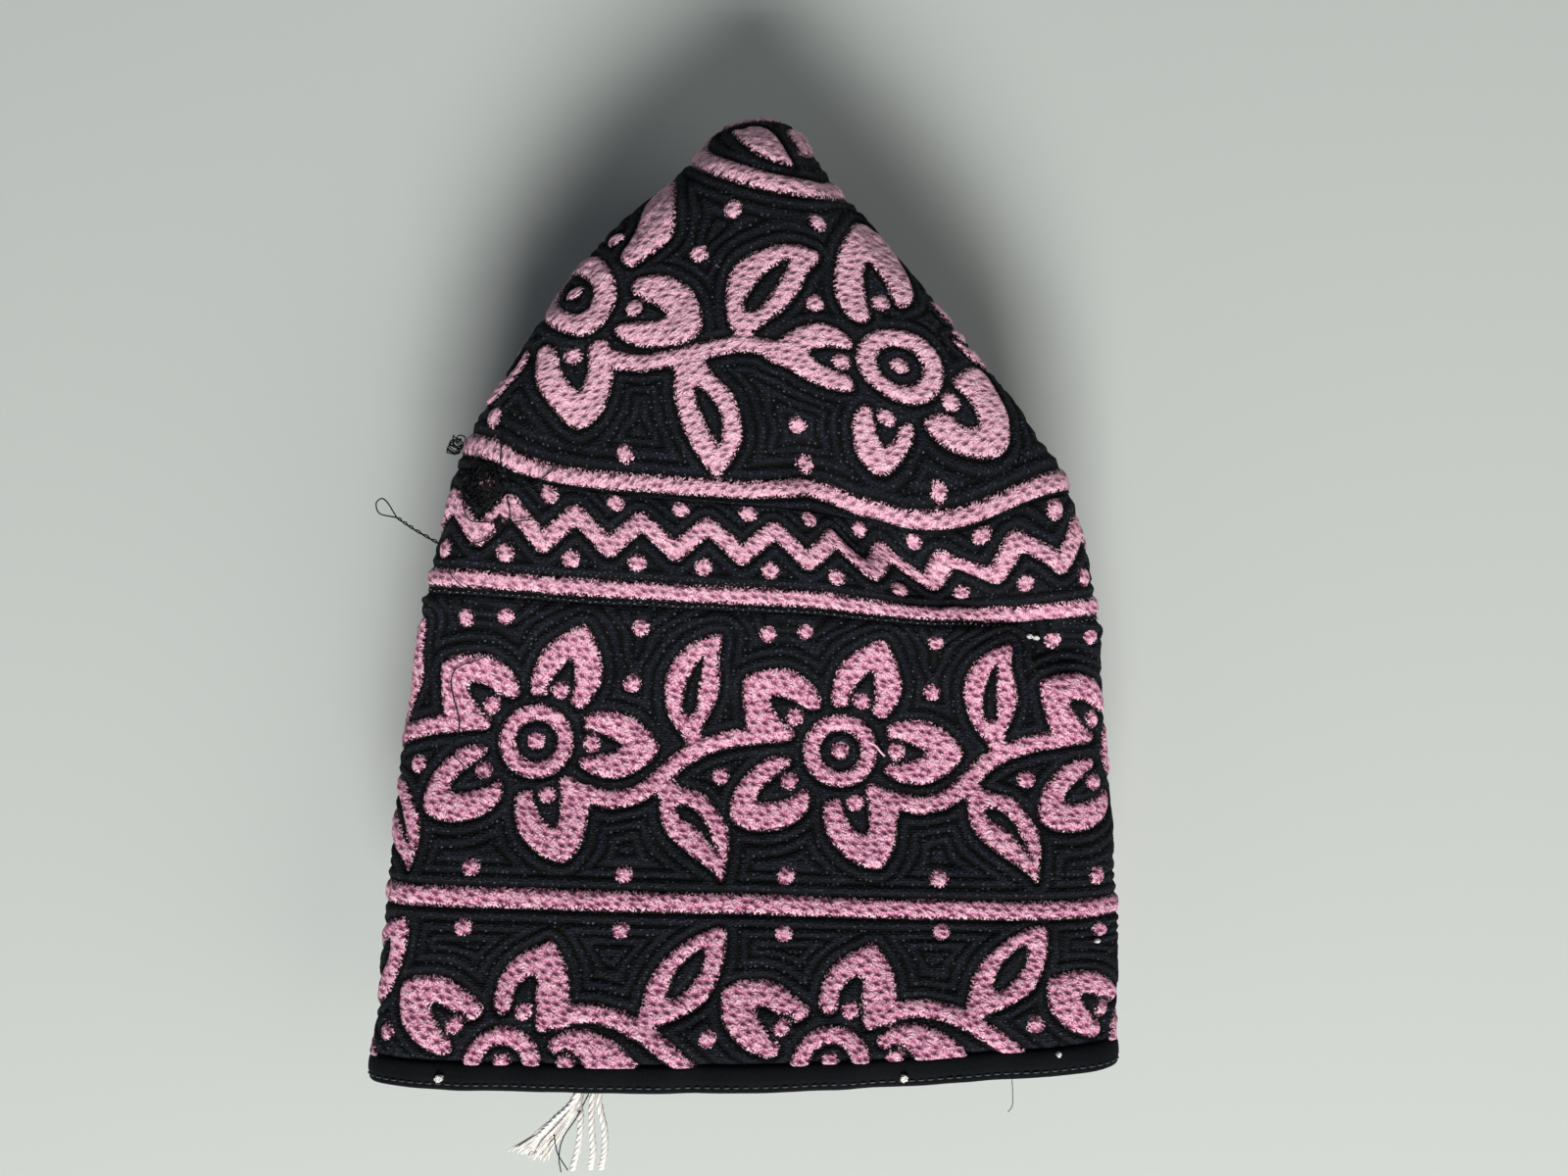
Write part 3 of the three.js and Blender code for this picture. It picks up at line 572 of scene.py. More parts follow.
def sizes_at(up):
    """Every column of the table at places up the cloth: cubic Hermite curves that are level at a peak."""
    x = SECTIONS[:, 0]
    i = np.clip(np.searchsorted(x, up, side="right") - 1, 0, len(x) - 2)
    span = x[i + 1] - x[i]
    t = (up - x[i]) / span
    sizes = {}
    for c, name in enumerate(COLUMNS):
        y = SECTIONS[:, c]
        inner = np.where((y[1:-1] - y[:-2]) * (y[2:] - y[1:-1]) <= 0, 0, (y[2:] - y[:-2]) / (x[2:] - x[:-2]))
        first = (y[1] - y[0]) / (x[1] - x[0])
        last = (y[-1] - y[-2]) / (x[-1] - x[-2])
        slope = np.concatenate([[first], inner, [last]])
        a, b, leave, arrive = y[i], y[i + 1], slope[i] * span, slope[i + 1] * span
        square = 3 * (b - a) - 2 * leave - arrive
        cube = 2 * (a - b) + leave + arrive
        sizes[name] = a + t * (leave + t * (square + t * cube))
    return sizes


def control_points(up):
    """Control points of closed cross-sections, from the front's middle round by the right-hand side."""
    s = sizes_at(up)
    foot = s["base"] + np.minimum(FOOT_RISE, FOOT_SHARE * (s["ridge"] - s["base"]))
    fold = (s["ridge"] + foot) / 2
    room = s["ridge"] - fold
    corner = np.minimum(np.minimum(RIDGE_SIZE, RIDGE_SHARE * s["half"]), RIDGE_ROOM * room)
    crease = np.minimum(np.minimum(FOLD_SIZE, FOLD_SHARE * s["half"]), FOLD_ROOM * room)
    corner_turn = np.minimum(FLANK_IN * corner, TURN_SHARE * s["depth"])
    crease_turn = np.minimum(crease, TURN_SHARE * s["depth"])
    drop = s["top"] - s["ridge"]
    shoulder = SHOULDER_RISE * corner * np.minimum(1, drop / SOFT_DROP)
    fold_y = s["mid"] - s["tuck"]
    leg_y = (s["edge"] + fold_y) / 2
    inward = s["half"] - s["depth"]
    half, level = s["half"], 0 * up

    def towards_edge(share):
        return s["mid"] + share * (s["edge"] - s["mid"])

    rows = [
        (level, s["top"], s["mid"]),
        *[(out * half, s["top"] - down * drop, towards_edge(share)) for out, down, share in FRONT_PANEL],
        (half - SHOULDER_IN * corner, s["ridge"] + shoulder, s["edge"]),
        (half + OVERSHOOT * corner, s["ridge"], s["edge"]),
        (half - corner_turn, s["ridge"] - FLANK_DROP * corner, s["edge"]),
        (half - LEG_IN * s["depth"], fold + LEG_RISE * room, leg_y),
        (inward + crease_turn, fold + crease, fold_y),
        (inward - OVERSHOOT * crease_turn, fold, fold_y),
        (inward + crease_turn, fold - crease, fold_y),
        (half - LEG_IN * s["depth"], fold - LEG_RISE * room, leg_y),
        (half - corner_turn, foot + FLANK_DROP * corner, s["edge"]),
        (half + OVERSHOOT * corner, foot, s["edge"]),
        (half - SHOULDER_IN * corner, s["base"], s["edge"]),
        *[(out * half, s["base"], towards_edge(share)) for out, share in BACK_PANEL],
        (level, s["base"], s["mid"]),
    ]
    points = np.stack([np.stack(row, -1) for row in rows], 1)
    oval = smooth_step(OVAL_FROM, OVAL_FULL, up)[:, None]
    angle = np.pi * np.arange(len(rows)) / (len(rows) - 1)
    middle = ((s["top"] + s["base"]) / 2)[:, None]
    points[:, :, 0] += oval * (half[:, None] * np.sin(angle) - points[:, :, 0])
    points[:, :, 1] += oval * (middle + (s["top"][:, None] - middle) * np.cos(angle) - points[:, :, 1])
    points[:, :, 2] += oval * (s["mid"][:, None] - points[:, :, 2])
    lean = np.where(half > TINY, s["tilt"] / (2 * np.maximum(half, TINY)), 0)[:, None]

    def place(side, q):
        x, z, y = side * q[:, :, 0], q[:, :, 1], q[:, :, 2]
        return np.stack([CENTRE[0] + s["shift"][:, None] + x, CENTRE[1] + y + x * lean, z], -1)

    return np.concatenate([place(1, points), place(-1, points[:, -2:0:-1])], 1)


def dent_at(x, y):
    """Depth of the dent at a place: a bell curve of the distance to the dent's path."""
    nearest = np.full(x.shape, np.inf)
    for a, b in zip(DENT_PATH[:-1], DENT_PATH[1:]):
        px, py = x - CENTRE[0] - a[0], y - CENTRE[1] - a[1]
        d = b - a
        t = np.clip((px * d[0] + py * d[1]) / (d @ d), 0, 1)
        nearest = np.minimum(nearest, np.hypot(px - t * d[0], py - t * d[1]))
    return DENT_DEPTH * np.exp(-(nearest / DENT_WIDTH) ** 2)


def slump_at(x, up):
    """How far the front panel sags towards the rim at a place: a bell curve across the panel and up it."""
    across = (x - SLUMP["x"]) / SLUMP["across_reach"]
    along = (up - SLUMP["up"]) / SLUMP["up_reach"]
    return SLUMP["depth"] * np.exp(-across ** 2 - along ** 2)


def outer_face(turn, up):
    """The plain outer face: a closed cubic B-spline through the control points of each section."""
    points = control_points(up)
    count = points.shape[1]
    at = (turn % 1) * count
    i = at.astype(int)
    t = (at - i)[None, :, None]
    weights = [(1 - t) ** 3, 3 * t ** 3 - 6 * t ** 2 + 4, -3 * t ** 3 + 3 * t ** 2 + 3 * t + 1, t ** 3]
    face = sum(w * points[:, (i + k - 1) % count, :] for k, w in enumerate(weights)) / 6
    front = 1 - smooth_step(FRONT_WHOLE, FRONT_REACH, np.minimum(at, count - at))
    face[:, :, 1] -= front * slump_at(face[:, :, 0], up[:, None])
    face[:, :, 2] -= front * dent_at(face[:, :, 0], face[:, :, 1])
    return face


class Cloth:
    """The cloth form as a table: rows up the cloth, columns evenly round it, places and normals in mm."""
    ROW_STEP = 0.5
    PER_REPEAT = 160
    TURNS = 1600

    def __init__(self):
        self.ups = np.append(np.arange(0, CLOTH_HEIGHT - self.ROW_STEP / 2, self.ROW_STEP), CLOTH_HEIGHT)
        turn = np.arange(self.TURNS + 1) / self.TURNS
        face = outer_face(turn, self.ups)
        step = np.linalg.norm(np.diff(face, axis=1), axis=2)
        length = np.concatenate([np.zeros((len(self.ups), 1)), np.cumsum(step, 1)], 1)
        whole = length[:, -1:]
        repeat = np.maximum(sizes_at(self.ups)["repeat"], SMALLEST_REPEAT)[:, None]
        share = length / np.maximum(whole, TINY)
        spare = REPEATS - whole / repeat
        rounds = length / repeat + spare * smooth_step(SPARE_FROM, SPARE_TO, share)
        rounds[-1] = REPEATS * turn
        self.columns = REPEATS * self.PER_REPEAT
        wanted = np.arange(self.columns) / self.PER_REPEAT
        self.places = np.empty((len(self.ups), self.columns, 3))
        for row in range(len(self.ups)):
            for axis in range(3):
                self.places[row, :, axis] = np.interp(wanted, rounds[row], face[row, :, axis])
        across = np.roll(self.places, -1, 1) - np.roll(self.places, 1, 1)
        along = np.gradient(self.places, self.ups, axis=0)
        normal = np.cross(across, along)
        size = np.linalg.norm(normal, axis=2, keepdims=True)
        self.normals = normal / np.maximum(size, TINY)
        self.normals[-1] = (0, 1, 0)

    def at(self, rounds, up, lift):
        """Places on the cloth: bilinear between the table's cells, moved along the normal by lift."""
        row = np.interp(up, self.ups, np.arange(len(self.ups)))
        i = np.clip(row.astype(int), 0, len(self.ups) - 2)
        v = (row - i)[..., None]
        column = (rounds % REPEATS) * self.PER_REPEAT
        j = column.astype(int)
        u = (column - j)[..., None]
        left, right = j % self.columns, (j + 1) % self.columns

        def read(table):
            low = table[i, left] * (1 - u) + table[i, right] * u
            high = table[i + 1, left] * (1 - u) + table[i + 1, right] * u
            return low * (1 - v) + high * v

        places = read(self.places) + read(self.normals) * (lift + self.pucker(rounds, up))[..., None]
        places[..., 2] = np.maximum(places[..., 2], TABLE_CLEARANCE)
        return places

    @staticmethod
    def pucker(rounds, up):
        """Soft unevenness of the cloth, in mm: the sum of its waves, each a sine of the place."""
        turn = rounds * 2 * np.pi / REPEATS
        total = sum(size * np.sin(n * turn + k * up + start) for n, k, size, start in PUCKER_WAVES)
        return total * (1 - smooth_step(*PUCKER_FADE, up))


def closed_curve(points, steps=5):
    """A smooth closed outline: a Catmull-Rom curve through the points."""
    p = np.array(points, float)
    before, after, later = np.roll(p, 1, 0), np.roll(p, -1, 0), np.roll(p, -2, 0)
    t = (np.arange(steps) / steps)[None, :, None]
    p, before, after, later = (q[:, None, :] for q in (p, before, after, later))
    curve = 0.5 * (2 * p + (after - before) * t + (2 * before - 5 * p + 4 * after - later) * t ** 2
                   + (3 * p - before - 3 * after + later) * t ** 3)
    return curve.reshape(-1, 2)


def edge_distance(x, y, start, end):
    """Distance from places to the nearest of a row of straight edges."""
    dx, dy = (end - start).T
    px, py = x[:, None] - start[:, 0], y[:, None] - start[:, 1]
    t = np.clip((px * dx + py * dy) / np.maximum(dx * dx + dy * dy, TINY), 0, 1)
    return np.sqrt(((px - t * dx) ** 2 + (py - t * dy) ** 2).min(1))


def outline_distance(x, y, outline):
    """Signed distance to a closed outline: to its nearest edge, and negative inside it."""
    end = np.roll(outline, -1, 0)
    rises = (outline[:, 1] > y[:, None]) != (end[:, 1] > y[:, None])
    with np.errstate(divide="ignore", invalid="ignore"):
        share = (y[:, None] - outline[:, 1]) / (end[:, 1] - outline[:, 1])
        crossing = outline[:, 0] + share * (end[:, 0] - outline[:, 0])
    inside = (rises & (x[:, None] < crossing)).sum(1) % 2 == 1
    return np.where(inside, -1, 1) * edge_distance(x, y, outline, end)


def row_distance(x, y, row, dotted):
    """Signed distance to one repeat of embroidery: the least of its shapes, stems and rings, and of its dots
    if they count. A shape keeps a gap round a dot."""
    parts = [outline_distance(x, y, closed_curve(points)) for points in row.get("shapes", {}).values()]
    for outline, slit in row.get("pierced", {}).values():
        whole = outline_distance(x, y, closed_curve(outline))
        parts.append(np.maximum(whole, -outline_distance(x, y, closed_curve(slit))))
    for points in row.get("stems", []):
        line = np.array(points, float)
        parts.append(edge_distance(x, y, line[:-1], line[1:]) - STEM_WIDTH / 2)
    for cx, cy, inner, outer in row.get("rings", []):
        reach = np.hypot(x - cx, y - cy)
        parts.append(np.maximum(reach - outer, inner - reach))
    if not dotted:
        return np.min([np.full(len(x), FAR_AWAY), *parts], 0)
    dots = np.array(row["dots"])
    dot = np.hypot(x[:, None] - dots[:, 0], y[:, None] - dots[:, 1]).min(1) - DOT_RADIUS
    if len(parts) == 0:
        return dot
    return np.minimum(np.maximum(np.min(parts, 0), DOT_GAP - dot), dot)


class Chart:
    """Signed distances to the embroidery on a flat grid. A chart with a period repeats in x."""

    def __init__(self, low, high, step, distance, period=None):
        self.low, self.high, self.step, self.period = np.array(low, float), high, step, period
        self.count = np.ceil((np.array(high) - low) / step).astype(int) + 1
        grid_x, grid_y = np.meshgrid(*(low[k] + step * np.arange(self.count[k]) for k in (0, 1)))
        self.values = distance(grid_x.ravel(), grid_y.ravel()).reshape(grid_x.shape)

    def read(self, x, y):
        """The distance at places: the four grid points round each, weighted by nearness."""
        if self.period:
            x = self.low[0] + (x - self.low[0]) % self.period
        a = np.clip((x - self.low[0]) / self.step, 0, self.count[0] - CHART_END)
        b = np.clip((y - self.low[1]) / self.step, 0, self.count[1] - CHART_END)
        i, j = a.astype(int), b.astype(int)
        u, v = a - i, b - j
        top = self.values[j, i] * (1 - u) + self.values[j, i + 1] * u
        low = self.values[j + 1, i] * (1 - u) + self.values[j + 1, i + 1] * u
        return top * (1 - v) + low * v

    def read_inside(self, x, y):
        """As read, but far from any embroidery outside the chart."""
        held = (x > self.low[0]) & (x < self.high[0]) & (y > self.low[1]) & (y < self.high[1])
        return np.where(held, self.read(x, y), FAR_AWAY)


def band_chart(row, dotted):
    """One repeat of the band's embroidery: the nearest of the repeat and its two neighbours."""
    width = row["repeat"]

    def distance(x, y):
        return np.min([row_distance(x + k * width, y, row, dotted) for k in (-1, 0, 1)], 0)

    return Chart((-width / 2, row["low"]), (width / 2, row["high"]), CHART_STEP, distance, width)


def row_read(chart, row, rounds, up):
    """A chart of one row read at places on the cloth."""
    return chart.read((rounds - row["round"]) * row["repeat"], up - row["up"])


def crown_chart(group, dotted):
    """One group of shapes on the crown."""
    return Chart(*group["box"], CHART_STEP, lambda x, y: row_distance(x, y, group, dotted))


def zigzag_distance(x, y, pitch, dotted):
    """Signed distance to one tooth of the zigzag, with its neighbours, and with its dots if they count."""
    z = ZIGZAG
    teeth = range(-3, 5)
    line = np.array([(k * pitch / 2, z["low"] if k % 2 == 0 else z["high"]) for k in teeth])
    parts = [edge_distance(x, y, line[:-1], line[1:]) - z["width"] / 2]
    for along, up in (z["upper_dots"], z["lower_dots"]) if dotted else ():
        parts += [np.hypot(x - along - k * pitch, y - up) - DOT_RADIUS for k in (-1, 0, 1)]
    return np.min(parts, 0)


def from_front(rounds):
    """Repeats from the front's middle the short way round: negative on the left."""
    return (rounds + REPEATS / 2) % REPEATS - REPEATS / 2


def front_table(rounds, table):
    """A number read from a table of places round the front, straight between them."""
    places, values = np.array(table).T
    return np.interp(from_front(rounds), places, values)


def line_place(name, rounds):
    """How far up the cloth a straight line of embroidery lies."""
    return LINES[name][0] + front_table(rounds, LINES[name][2])


def line_distance(rounds, up, name):
    """Signed distance to a straight line of embroidery."""
    return np.abs(up - line_place(name, rounds)) - LINES[name][1] / 2


class Embroidery:
    """Where the embroidery is: the signed distance in mm to its nearest edge, negative in the thread. The
    cords of the quilting follow the same embroidery without its dots."""

    def __init__(self, dotted):
        self.upper = band_chart(UPPER_ROW, dotted)
        self.lower = band_chart(LOWER_ROW, dotted)
        self.tooth = sizes_at(np.array([ZIGZAG["low"]]))["repeat"][0] * REPEATS / ZIGZAG["teeth"]
        low, high = ZIGZAG["reach"]
        self.zigzag = Chart((0, low), (self.tooth, high), ZIGZAG_CHART_STEP,
                            lambda x, y: zigzag_distance(x, y, self.tooth, dotted), self.tooth)
        self.flower = crown_chart(CROWN_FLOWER, dotted)
        self.leaves = crown_chart(CROWN_LEAVES, dotted)
        self.left = crown_chart(CROWN_LEFT, dotted)

    def side(self, rounds, up):
        """The tall band: its upper row above the third line, its lower row under it, and the line."""
        drawn = rounds + smooth_step(*UPPER_PULL_UPS, up) * front_table(rounds, UPPER_PULL)
        upper = row_read(self.upper, UPPER_ROW, drawn, up)
        lower = row_read(self.lower, LOWER_ROW, rounds, up)
        return np.minimum(np.where(up > LINES["side"][0], upper, lower), line_distance(rounds, up, "side"))

    def border(self, rounds, up):
        """The narrow band: its zigzag and the line at its foot."""
        drawn = rounds + smooth_step(*ZIGZAG_PULL_UPS, up) * front_table(rounds, ZIGZAG_PULL)
        x = drawn * self.tooth * ZIGZAG["teeth"] / REPEATS - ZIGZAG["phase"]
        return np.minimum(self.zigzag.read(x, up), line_distance(rounds, up, "border"))

    @staticmethod
    def crown_flat(rounds, up):
        """Flat places on the crown's round, in mm from the tip."""
        angle = rounds * 2 * np.pi / REPEATS
        reach = CLOTH_HEIGHT - up
        return reach * np.sin(angle), reach * np.cos(angle)

    def crown(self, rounds, up):
        """The crown: leaves and flowers turned by fifths, the left flower, the rosette and the line."""
        flat_x, flat_y = self.crown_flat(rounds, up)
        x, y = flat_x - CROWN_MIDDLE[0], flat_y - CROWN_MIDDLE[1]
        parts = [self.left.read_inside(x, y)]
        for k in range(CROWN_FLOWERS):
            turned = turn_by(x, y, k / CROWN_FLOWERS)
            parts.append(self.leaves.read_inside(*turned))
            if k != LEFT_COPY:
                parts.append(self.flower.read_inside(*turned))
        return np.min([*parts, rosette_distance(x, y), line_distance(rounds, up, "crown")], 0)


def rosette_distance(x, y):
    """Signed distance to the rosette at the tip: the least of its ring and its leaves."""
    r = ROSETTE
    px, py = x - r["x"], y - r["y"]
    reach = np.hypot(px, py)
    rosette = np.maximum(reach - r["ring_out"], r["ring_in"] - reach)
    near = reach < 2 * r["ring_out"]
    for k in range(r["leaves"]):
        leaf = outline_distance(*turn_by(px[near], py[near], k / r["leaves"]), closed_curve(ROSETTE_LEAF))
        rosette[near] = np.minimum(rosette[near], leaf)
    return rosette


def turn_by(x, y, turns):
    """Flat places turned round the middle by a number of turns."""
    angle = 2 * np.pi * turns
    return x * np.cos(angle) - y * np.sin(angle), x * np.sin(angle) + y * np.cos(angle)


@functools.lru_cache(maxsize=1)
def cloth_and_embroidery():
    """The cloth's form, its embroidery and its embroidery without the dots, worked out once."""
    return Cloth(), Embroidery(True), Embroidery(False)


def quilting(distance, clear, rounds, up, low, high, sizes, crown):
    """Height of the quilted cloth, and the count of cords at each place. Rounded cords follow the edge of
    the embroidery at an even pitch, and run on under its dots: clear is the distance without the dots, and
    height = quilt_height * (|sin(pi * cords)| ** QUILT_FULLNESS - level).
    Under the thread and at the seams the cloth lies low, and the crown's upper end has no seam. Where the
    mesh is coarse the cords are flatter, and the material's relief takes over."""
    waves = np.sin(up * WANDER_UP + clear * WANDER_OUT)
    stray = QUILT_WANDER * waves * smooth_step(WANDER_FROM, WANDER_FULL, clear)
    cords = (np.maximum(clear, 0) - QUILT_START + stray) / sizes.quilt_pitch
    ridge = np.where(cords < 0, 0, np.abs(np.sin(np.pi * cords)) ** QUILT_FULLNESS)
    away = smooth_step(0, SEAM_WIDTH, up - low)
    if not crown:
        away *= smooth_step(0, SEAM_WIDTH, high - up)
    depth = CROWN_SEAM_DEPTH if crown else SEAM_DEPTH
    behind = smooth_step(FRONT_ROUNDS - COARSE_BLEND, FRONT_ROUNDS, np.abs(from_front(rounds)))
    full = sizes.quilt_height * (1 - (1 - COARSE_SHARE) * behind)
    height = full * (ridge - QUILT_LEVEL) * away - depth * (1 - away)
    return np.where(distance < THREAD_ROOM, np.minimum(height, -THREAD_SINK), height), cords


def columns_round(front_step, far_step):
    """Places round the cap in repeats: closer together on the front panel, a multiple of the inner share."""
    width = LOWER_ROW["repeat"]
    rest = REPEATS - 2 * FRONT_ROUNDS
    near = int(2 * FRONT_ROUNDS * width / front_step / INNER_SHARE) * INNER_SHARE
    far = int(rest * width / far_step / INNER_SHARE) * INNER_SHARE
    front = -FRONT_ROUNDS + 2 * FRONT_ROUNDS * np.arange(near) / near
    back = FRONT_ROUNDS + rest * np.arange(far) / far
    return np.concatenate([front, back])


def grid_quads(rows, columns):
    """Faces of a grid that closes on itself round the cap, turned outwards."""
    i, j = np.meshgrid(np.arange(rows - 1), np.arange(columns), indexing="ij")
    k = (j + 1) % columns
    corners = [i * columns + j, i * columns + k, (i + 1) * columns + k, (i + 1) * columns + j]
    return np.stack(corners, -1).reshape(-1, 4)


def new_mesh(name, places, faces, material, numbers=None, corners=None):
    """A smooth mesh from whole arrays. Places are in mm, faces a list of arrays of vertex numbers, numbers a
    value at each vertex and corners a flat place in mm at each face corner."""
    mesh = bpy.data.meshes.new(name)
    mesh.vertices.add(len(places))
    mesh.vertices.foreach_set("co", (np.asarray(places) * MM).astype(np.float32).ravel())
    loops = np.concatenate([f.ravel() for f in faces]).astype(np.int32)
    totals = np.concatenate([np.full(len(f), f.shape[1]) for f in faces])
    starts = np.concatenate([[0], np.cumsum(totals)[:-1]]).astype(np.int32)
    mesh.loops.add(len(loops))
    mesh.loops.foreach_set("vertex_index", loops)
    mesh.polygons.add(len(totals))
    mesh.polygons.foreach_set("loop_start", starts)
    mesh.update(calc_edges=True)
    for key, values in (numbers or {}).items():
        layer = mesh.attributes.new(key, "FLOAT", "POINT")
        layer.data.foreach_set("value", np.asarray(values, np.float32).ravel())
    if corners is not None:
        flat = np.concatenate([c.reshape(-1, 2) for c in corners])
        vector = np.column_stack([flat, np.zeros(len(flat))]).astype(np.float32)
        mesh.attributes.new("cloth", "FLOAT_VECTOR", "CORNER").data.foreach_set("vector", vector.ravel())
    mesh.shade_smooth()
    mesh.materials.append(material)
    piece = bpy.data.objects.new(name, mesh)
    bpy.context.scene.collection.objects.link(piece)
    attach(piece, "root")
    return piece


def flat_places(rounds, up, crown):
    """The place on the flat cloth, in mm, that the weave and the stitches follow."""
    if crown:
        return np.stack(Embroidery.crown_flat(rounds, up), -1)
    return np.stack([rounds * BAND_MM, up], -1)


def corner_places(rounds, up, columns, faces, crown):
    """Flat places at the faces' corners, carried on past the last column instead of jumping back."""
    corners = flat_places(rounds, up, crown).reshape(-1, 2)[faces]
    if not crown:
        last = (faces[:, 0] % columns) == columns - 1
        corners[last, 1:3, 0] += REPEATS * BAND_MM
    return corners


def end_strip(outer_row, inner_row, outer_count, inner_count, base, outwards):
    """Triangles that close one end of a sheet, between a row of the outer face and one of the inner face."""
    fine = np.arange(outer_count)
    coarse = np.arange(inner_count)
    outer_start = outer_row * outer_count
    inner_start = base + inner_row * inner_count
    small = np.stack([
        inner_start + fine // INNER_SHARE,
        outer_start + (fine + 1) % outer_count,
        outer_start + fine], 1)
    wide = np.stack([
        inner_start + coarse,
        inner_start + (coarse + 1) % inner_count,
        outer_start + INNER_SHARE * (coarse + 1) % outer_count], 1)
    both = np.concatenate([small, wide])
    return both if outwards else both[:, ::-1]


def fan(row, count, start, tip):
    """Triangles from one row of a grid to a single tip."""
    k = np.arange(count)
    return np.stack([start + row * count + k, start + row * count + (k + 1) % count, np.full(count, tip)], 1)


def cloth_grid(columns, low, high, step):
    """A grid on the cloth: every column round the cap at evenly spaced rows from low to high."""
    return np.meshgrid(columns, np.linspace(low, high, int((high - low) / step) + 1))


def cloth_sheet(name, distance_of, clear_of, low, high, node, material, sizes, crown=False):
    """A quilted wall between two places up the cloth: a fine outer face with its cords, a coarser inner face
    a wall's thickness under it, and strips that close both ends. The crown's ends meet at the tip."""
    cloth = cloth_and_embroidery()[0]
    columns = columns_round(sizes.front_step, sizes.far_step)
    row_step, stop, inner_stop = SHEET_ROW, high, high
    if crown:
        row_step, stop, inner_stop = CROWN_SHEET_ROW, OUTER_STOP, INNER_STOP
    rounds, up = cloth_grid(columns, low, stop, row_step)
    distance = distance_of(rounds, up)
    height, cords = quilting(distance, clear_of(rounds, up), rounds, up, low, high, sizes, crown)
    height += LEDGE_HEIGHT * np.exp(-((up - LEDGE_UP) / LEDGE_WIDTH) ** 2)
    if crown:
        height *= 1 - smooth_step(FADE_FROM, FADE_TO, up)
    outer = cloth.at(rounds, up, height)
    inner_round, inner_up = cloth_grid(columns[::INNER_SHARE], low, inner_stop, INNER_ROW)
    thinner = THIN_BY * smooth_step(THIN_FROM, INNER_STOP, inner_up)
    inner = cloth.at(inner_round, inner_up, thinner - WALL)
    # Faces: rows and columns of the outer face and then of the inner one, whose vertices come after it
    rows, n = rounds.shape
    inner_rows, m = inner_round.shape
    base = rounds.size
    quads = grid_quads(rows, n)
    inner_quads = grid_quads(inner_rows, m)[:, ::-1] + base
    places = [outer.reshape(-1, 3), inner.reshape(-1, 3)]
    triangles = [end_strip(0, 0, n, m, base, True)]
    if crown:
        tip = base + inner_round.size
        places.append(np.array([cloth.places[-1, 0], inner[-1].mean(0) + (0, INNER_TIP_RISE, 0)]))
        triangles.append(fan(rows - 1, n, 0, tip))
        triangles.append(fan(inner_rows - 1, m, base, tip + 1)[:, ::-1])
    else:
        triangles.append(end_strip(rows - 1, inner_rows - 1, n, m, base, False))
    places = np.concatenate(places)
    triangles = np.concatenate(triangles)
    # What the material reads: the flat place at each corner, the count of cords and the distance to thread
    tips = 2 if crown else 0
    all_round = np.concatenate([rounds.ravel(), inner_round.ravel(), np.zeros(tips)])
    all_up = np.concatenate([up.ravel(), inner_up.ravel(), np.full(tips, high)])
    spare = len(places) - rounds.size
    numbers = {
        "cords": np.concatenate([cords.ravel(), np.full(spare, PLAIN_CORDS)]),
        "edge": np.concatenate([distance.ravel(), np.full(spare, PLAIN_EDGE)]),
    }
    corners = [
        corner_places(all_round, all_up, n, quads, crown),
        flat_places(all_round, all_up, crown)[inner_quads],
        flat_places(all_round, all_up, crown)[triangles],
    ]
    piece = new_mesh(name, places, [quads, inner_quads, triangles], material, numbers, corners)
    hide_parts(node)


def pad_profile(depth, sizes):
    """Height of the embroidery from how deep a place lies in it: pad_height * (1 - exp(-depth /
    PAD_ROUNDING)), and outside its edge it falls away into the cloth in a straight slope."""
    inside = sizes.pad_height * (1 - np.exp(-np.maximum(depth, 0) / PAD_ROUNDING))
    outside = -PAD_FALL * np.maximum(-depth, 0)
    return inside + outside - PAD_SINK


def stitch_relief(flat):
    """Soft unevenness of the thread, in mm: the sum of crossing sine waves about 2 mm long."""
    x, y = flat[..., 0], flat[..., 1]
    return sum(TUFT_HEIGHT * np.sin(kx * x + ky * y + start) for kx, ky, start in TUFT_WAVES)


def embroidery_pad(name, distance_of, low, high, material, sizes, crown=False):
    """The raised thread: the part of a fine grid on the cloth that lies in the embroidery, with a rim that
    goes down into the cloth round it."""
    cloth = cloth_and_embroidery()[0]
    columns = columns_round(sizes.pad_step, sizes.pad_step * FAR_PAD_SHARE)
    rounds, up = cloth_grid(columns, low, high, sizes.pad_step)
    distance = distance_of(rounds, up)
    quads = grid_quads(*rounds.shape)
    quads = quads[distance.ravel()[quads].min(1) < TOOTH_REACH]
    used, local = np.unique(quads, return_inverse=True)
    flat = flat_places(rounds, up, crown)
    lift = pad_profile(-distance, sizes) + stitch_relief(flat) * smooth_step(TUFT_FROM, TUFT_FULL, -distance)
    places = cloth.at(rounds.ravel()[used], up.ravel()[used], lift.ravel()[used])
    corners = [corner_places(rounds, up, len(columns), quads, crown)]
    numbers = {"edge": distance.ravel()[used]}
    new_mesh(name, places, [local.reshape(quads.shape)], material, numbers, corners)


def add_node(tree, kind, inputs=(), output=None, **settings):
    """Adds a node with its settings and links, and gives the output asked for, or else the first that the
    node shows. An input is a value or the output that feeds it, by name or in the order they are shown."""
    node = tree.nodes.new("ShaderNode" + kind)
    for name, value in settings.items():
        setattr(node, name, value)
    sockets = {socket.identifier: socket for socket in node.inputs}
    if not isinstance(inputs, dict):
        inputs = dict(zip([name for name, socket in sockets.items() if socket.enabled], inputs))
    for name, value in inputs.items():
        if isinstance(value, bpy.types.NodeSocket):
            tree.links.new(value, sockets[name])
        else:
            sockets[name].default_value = value
    if output is not None:
        return node.outputs[output]
    return next((socket for socket in node.outputs if socket.enabled), None)


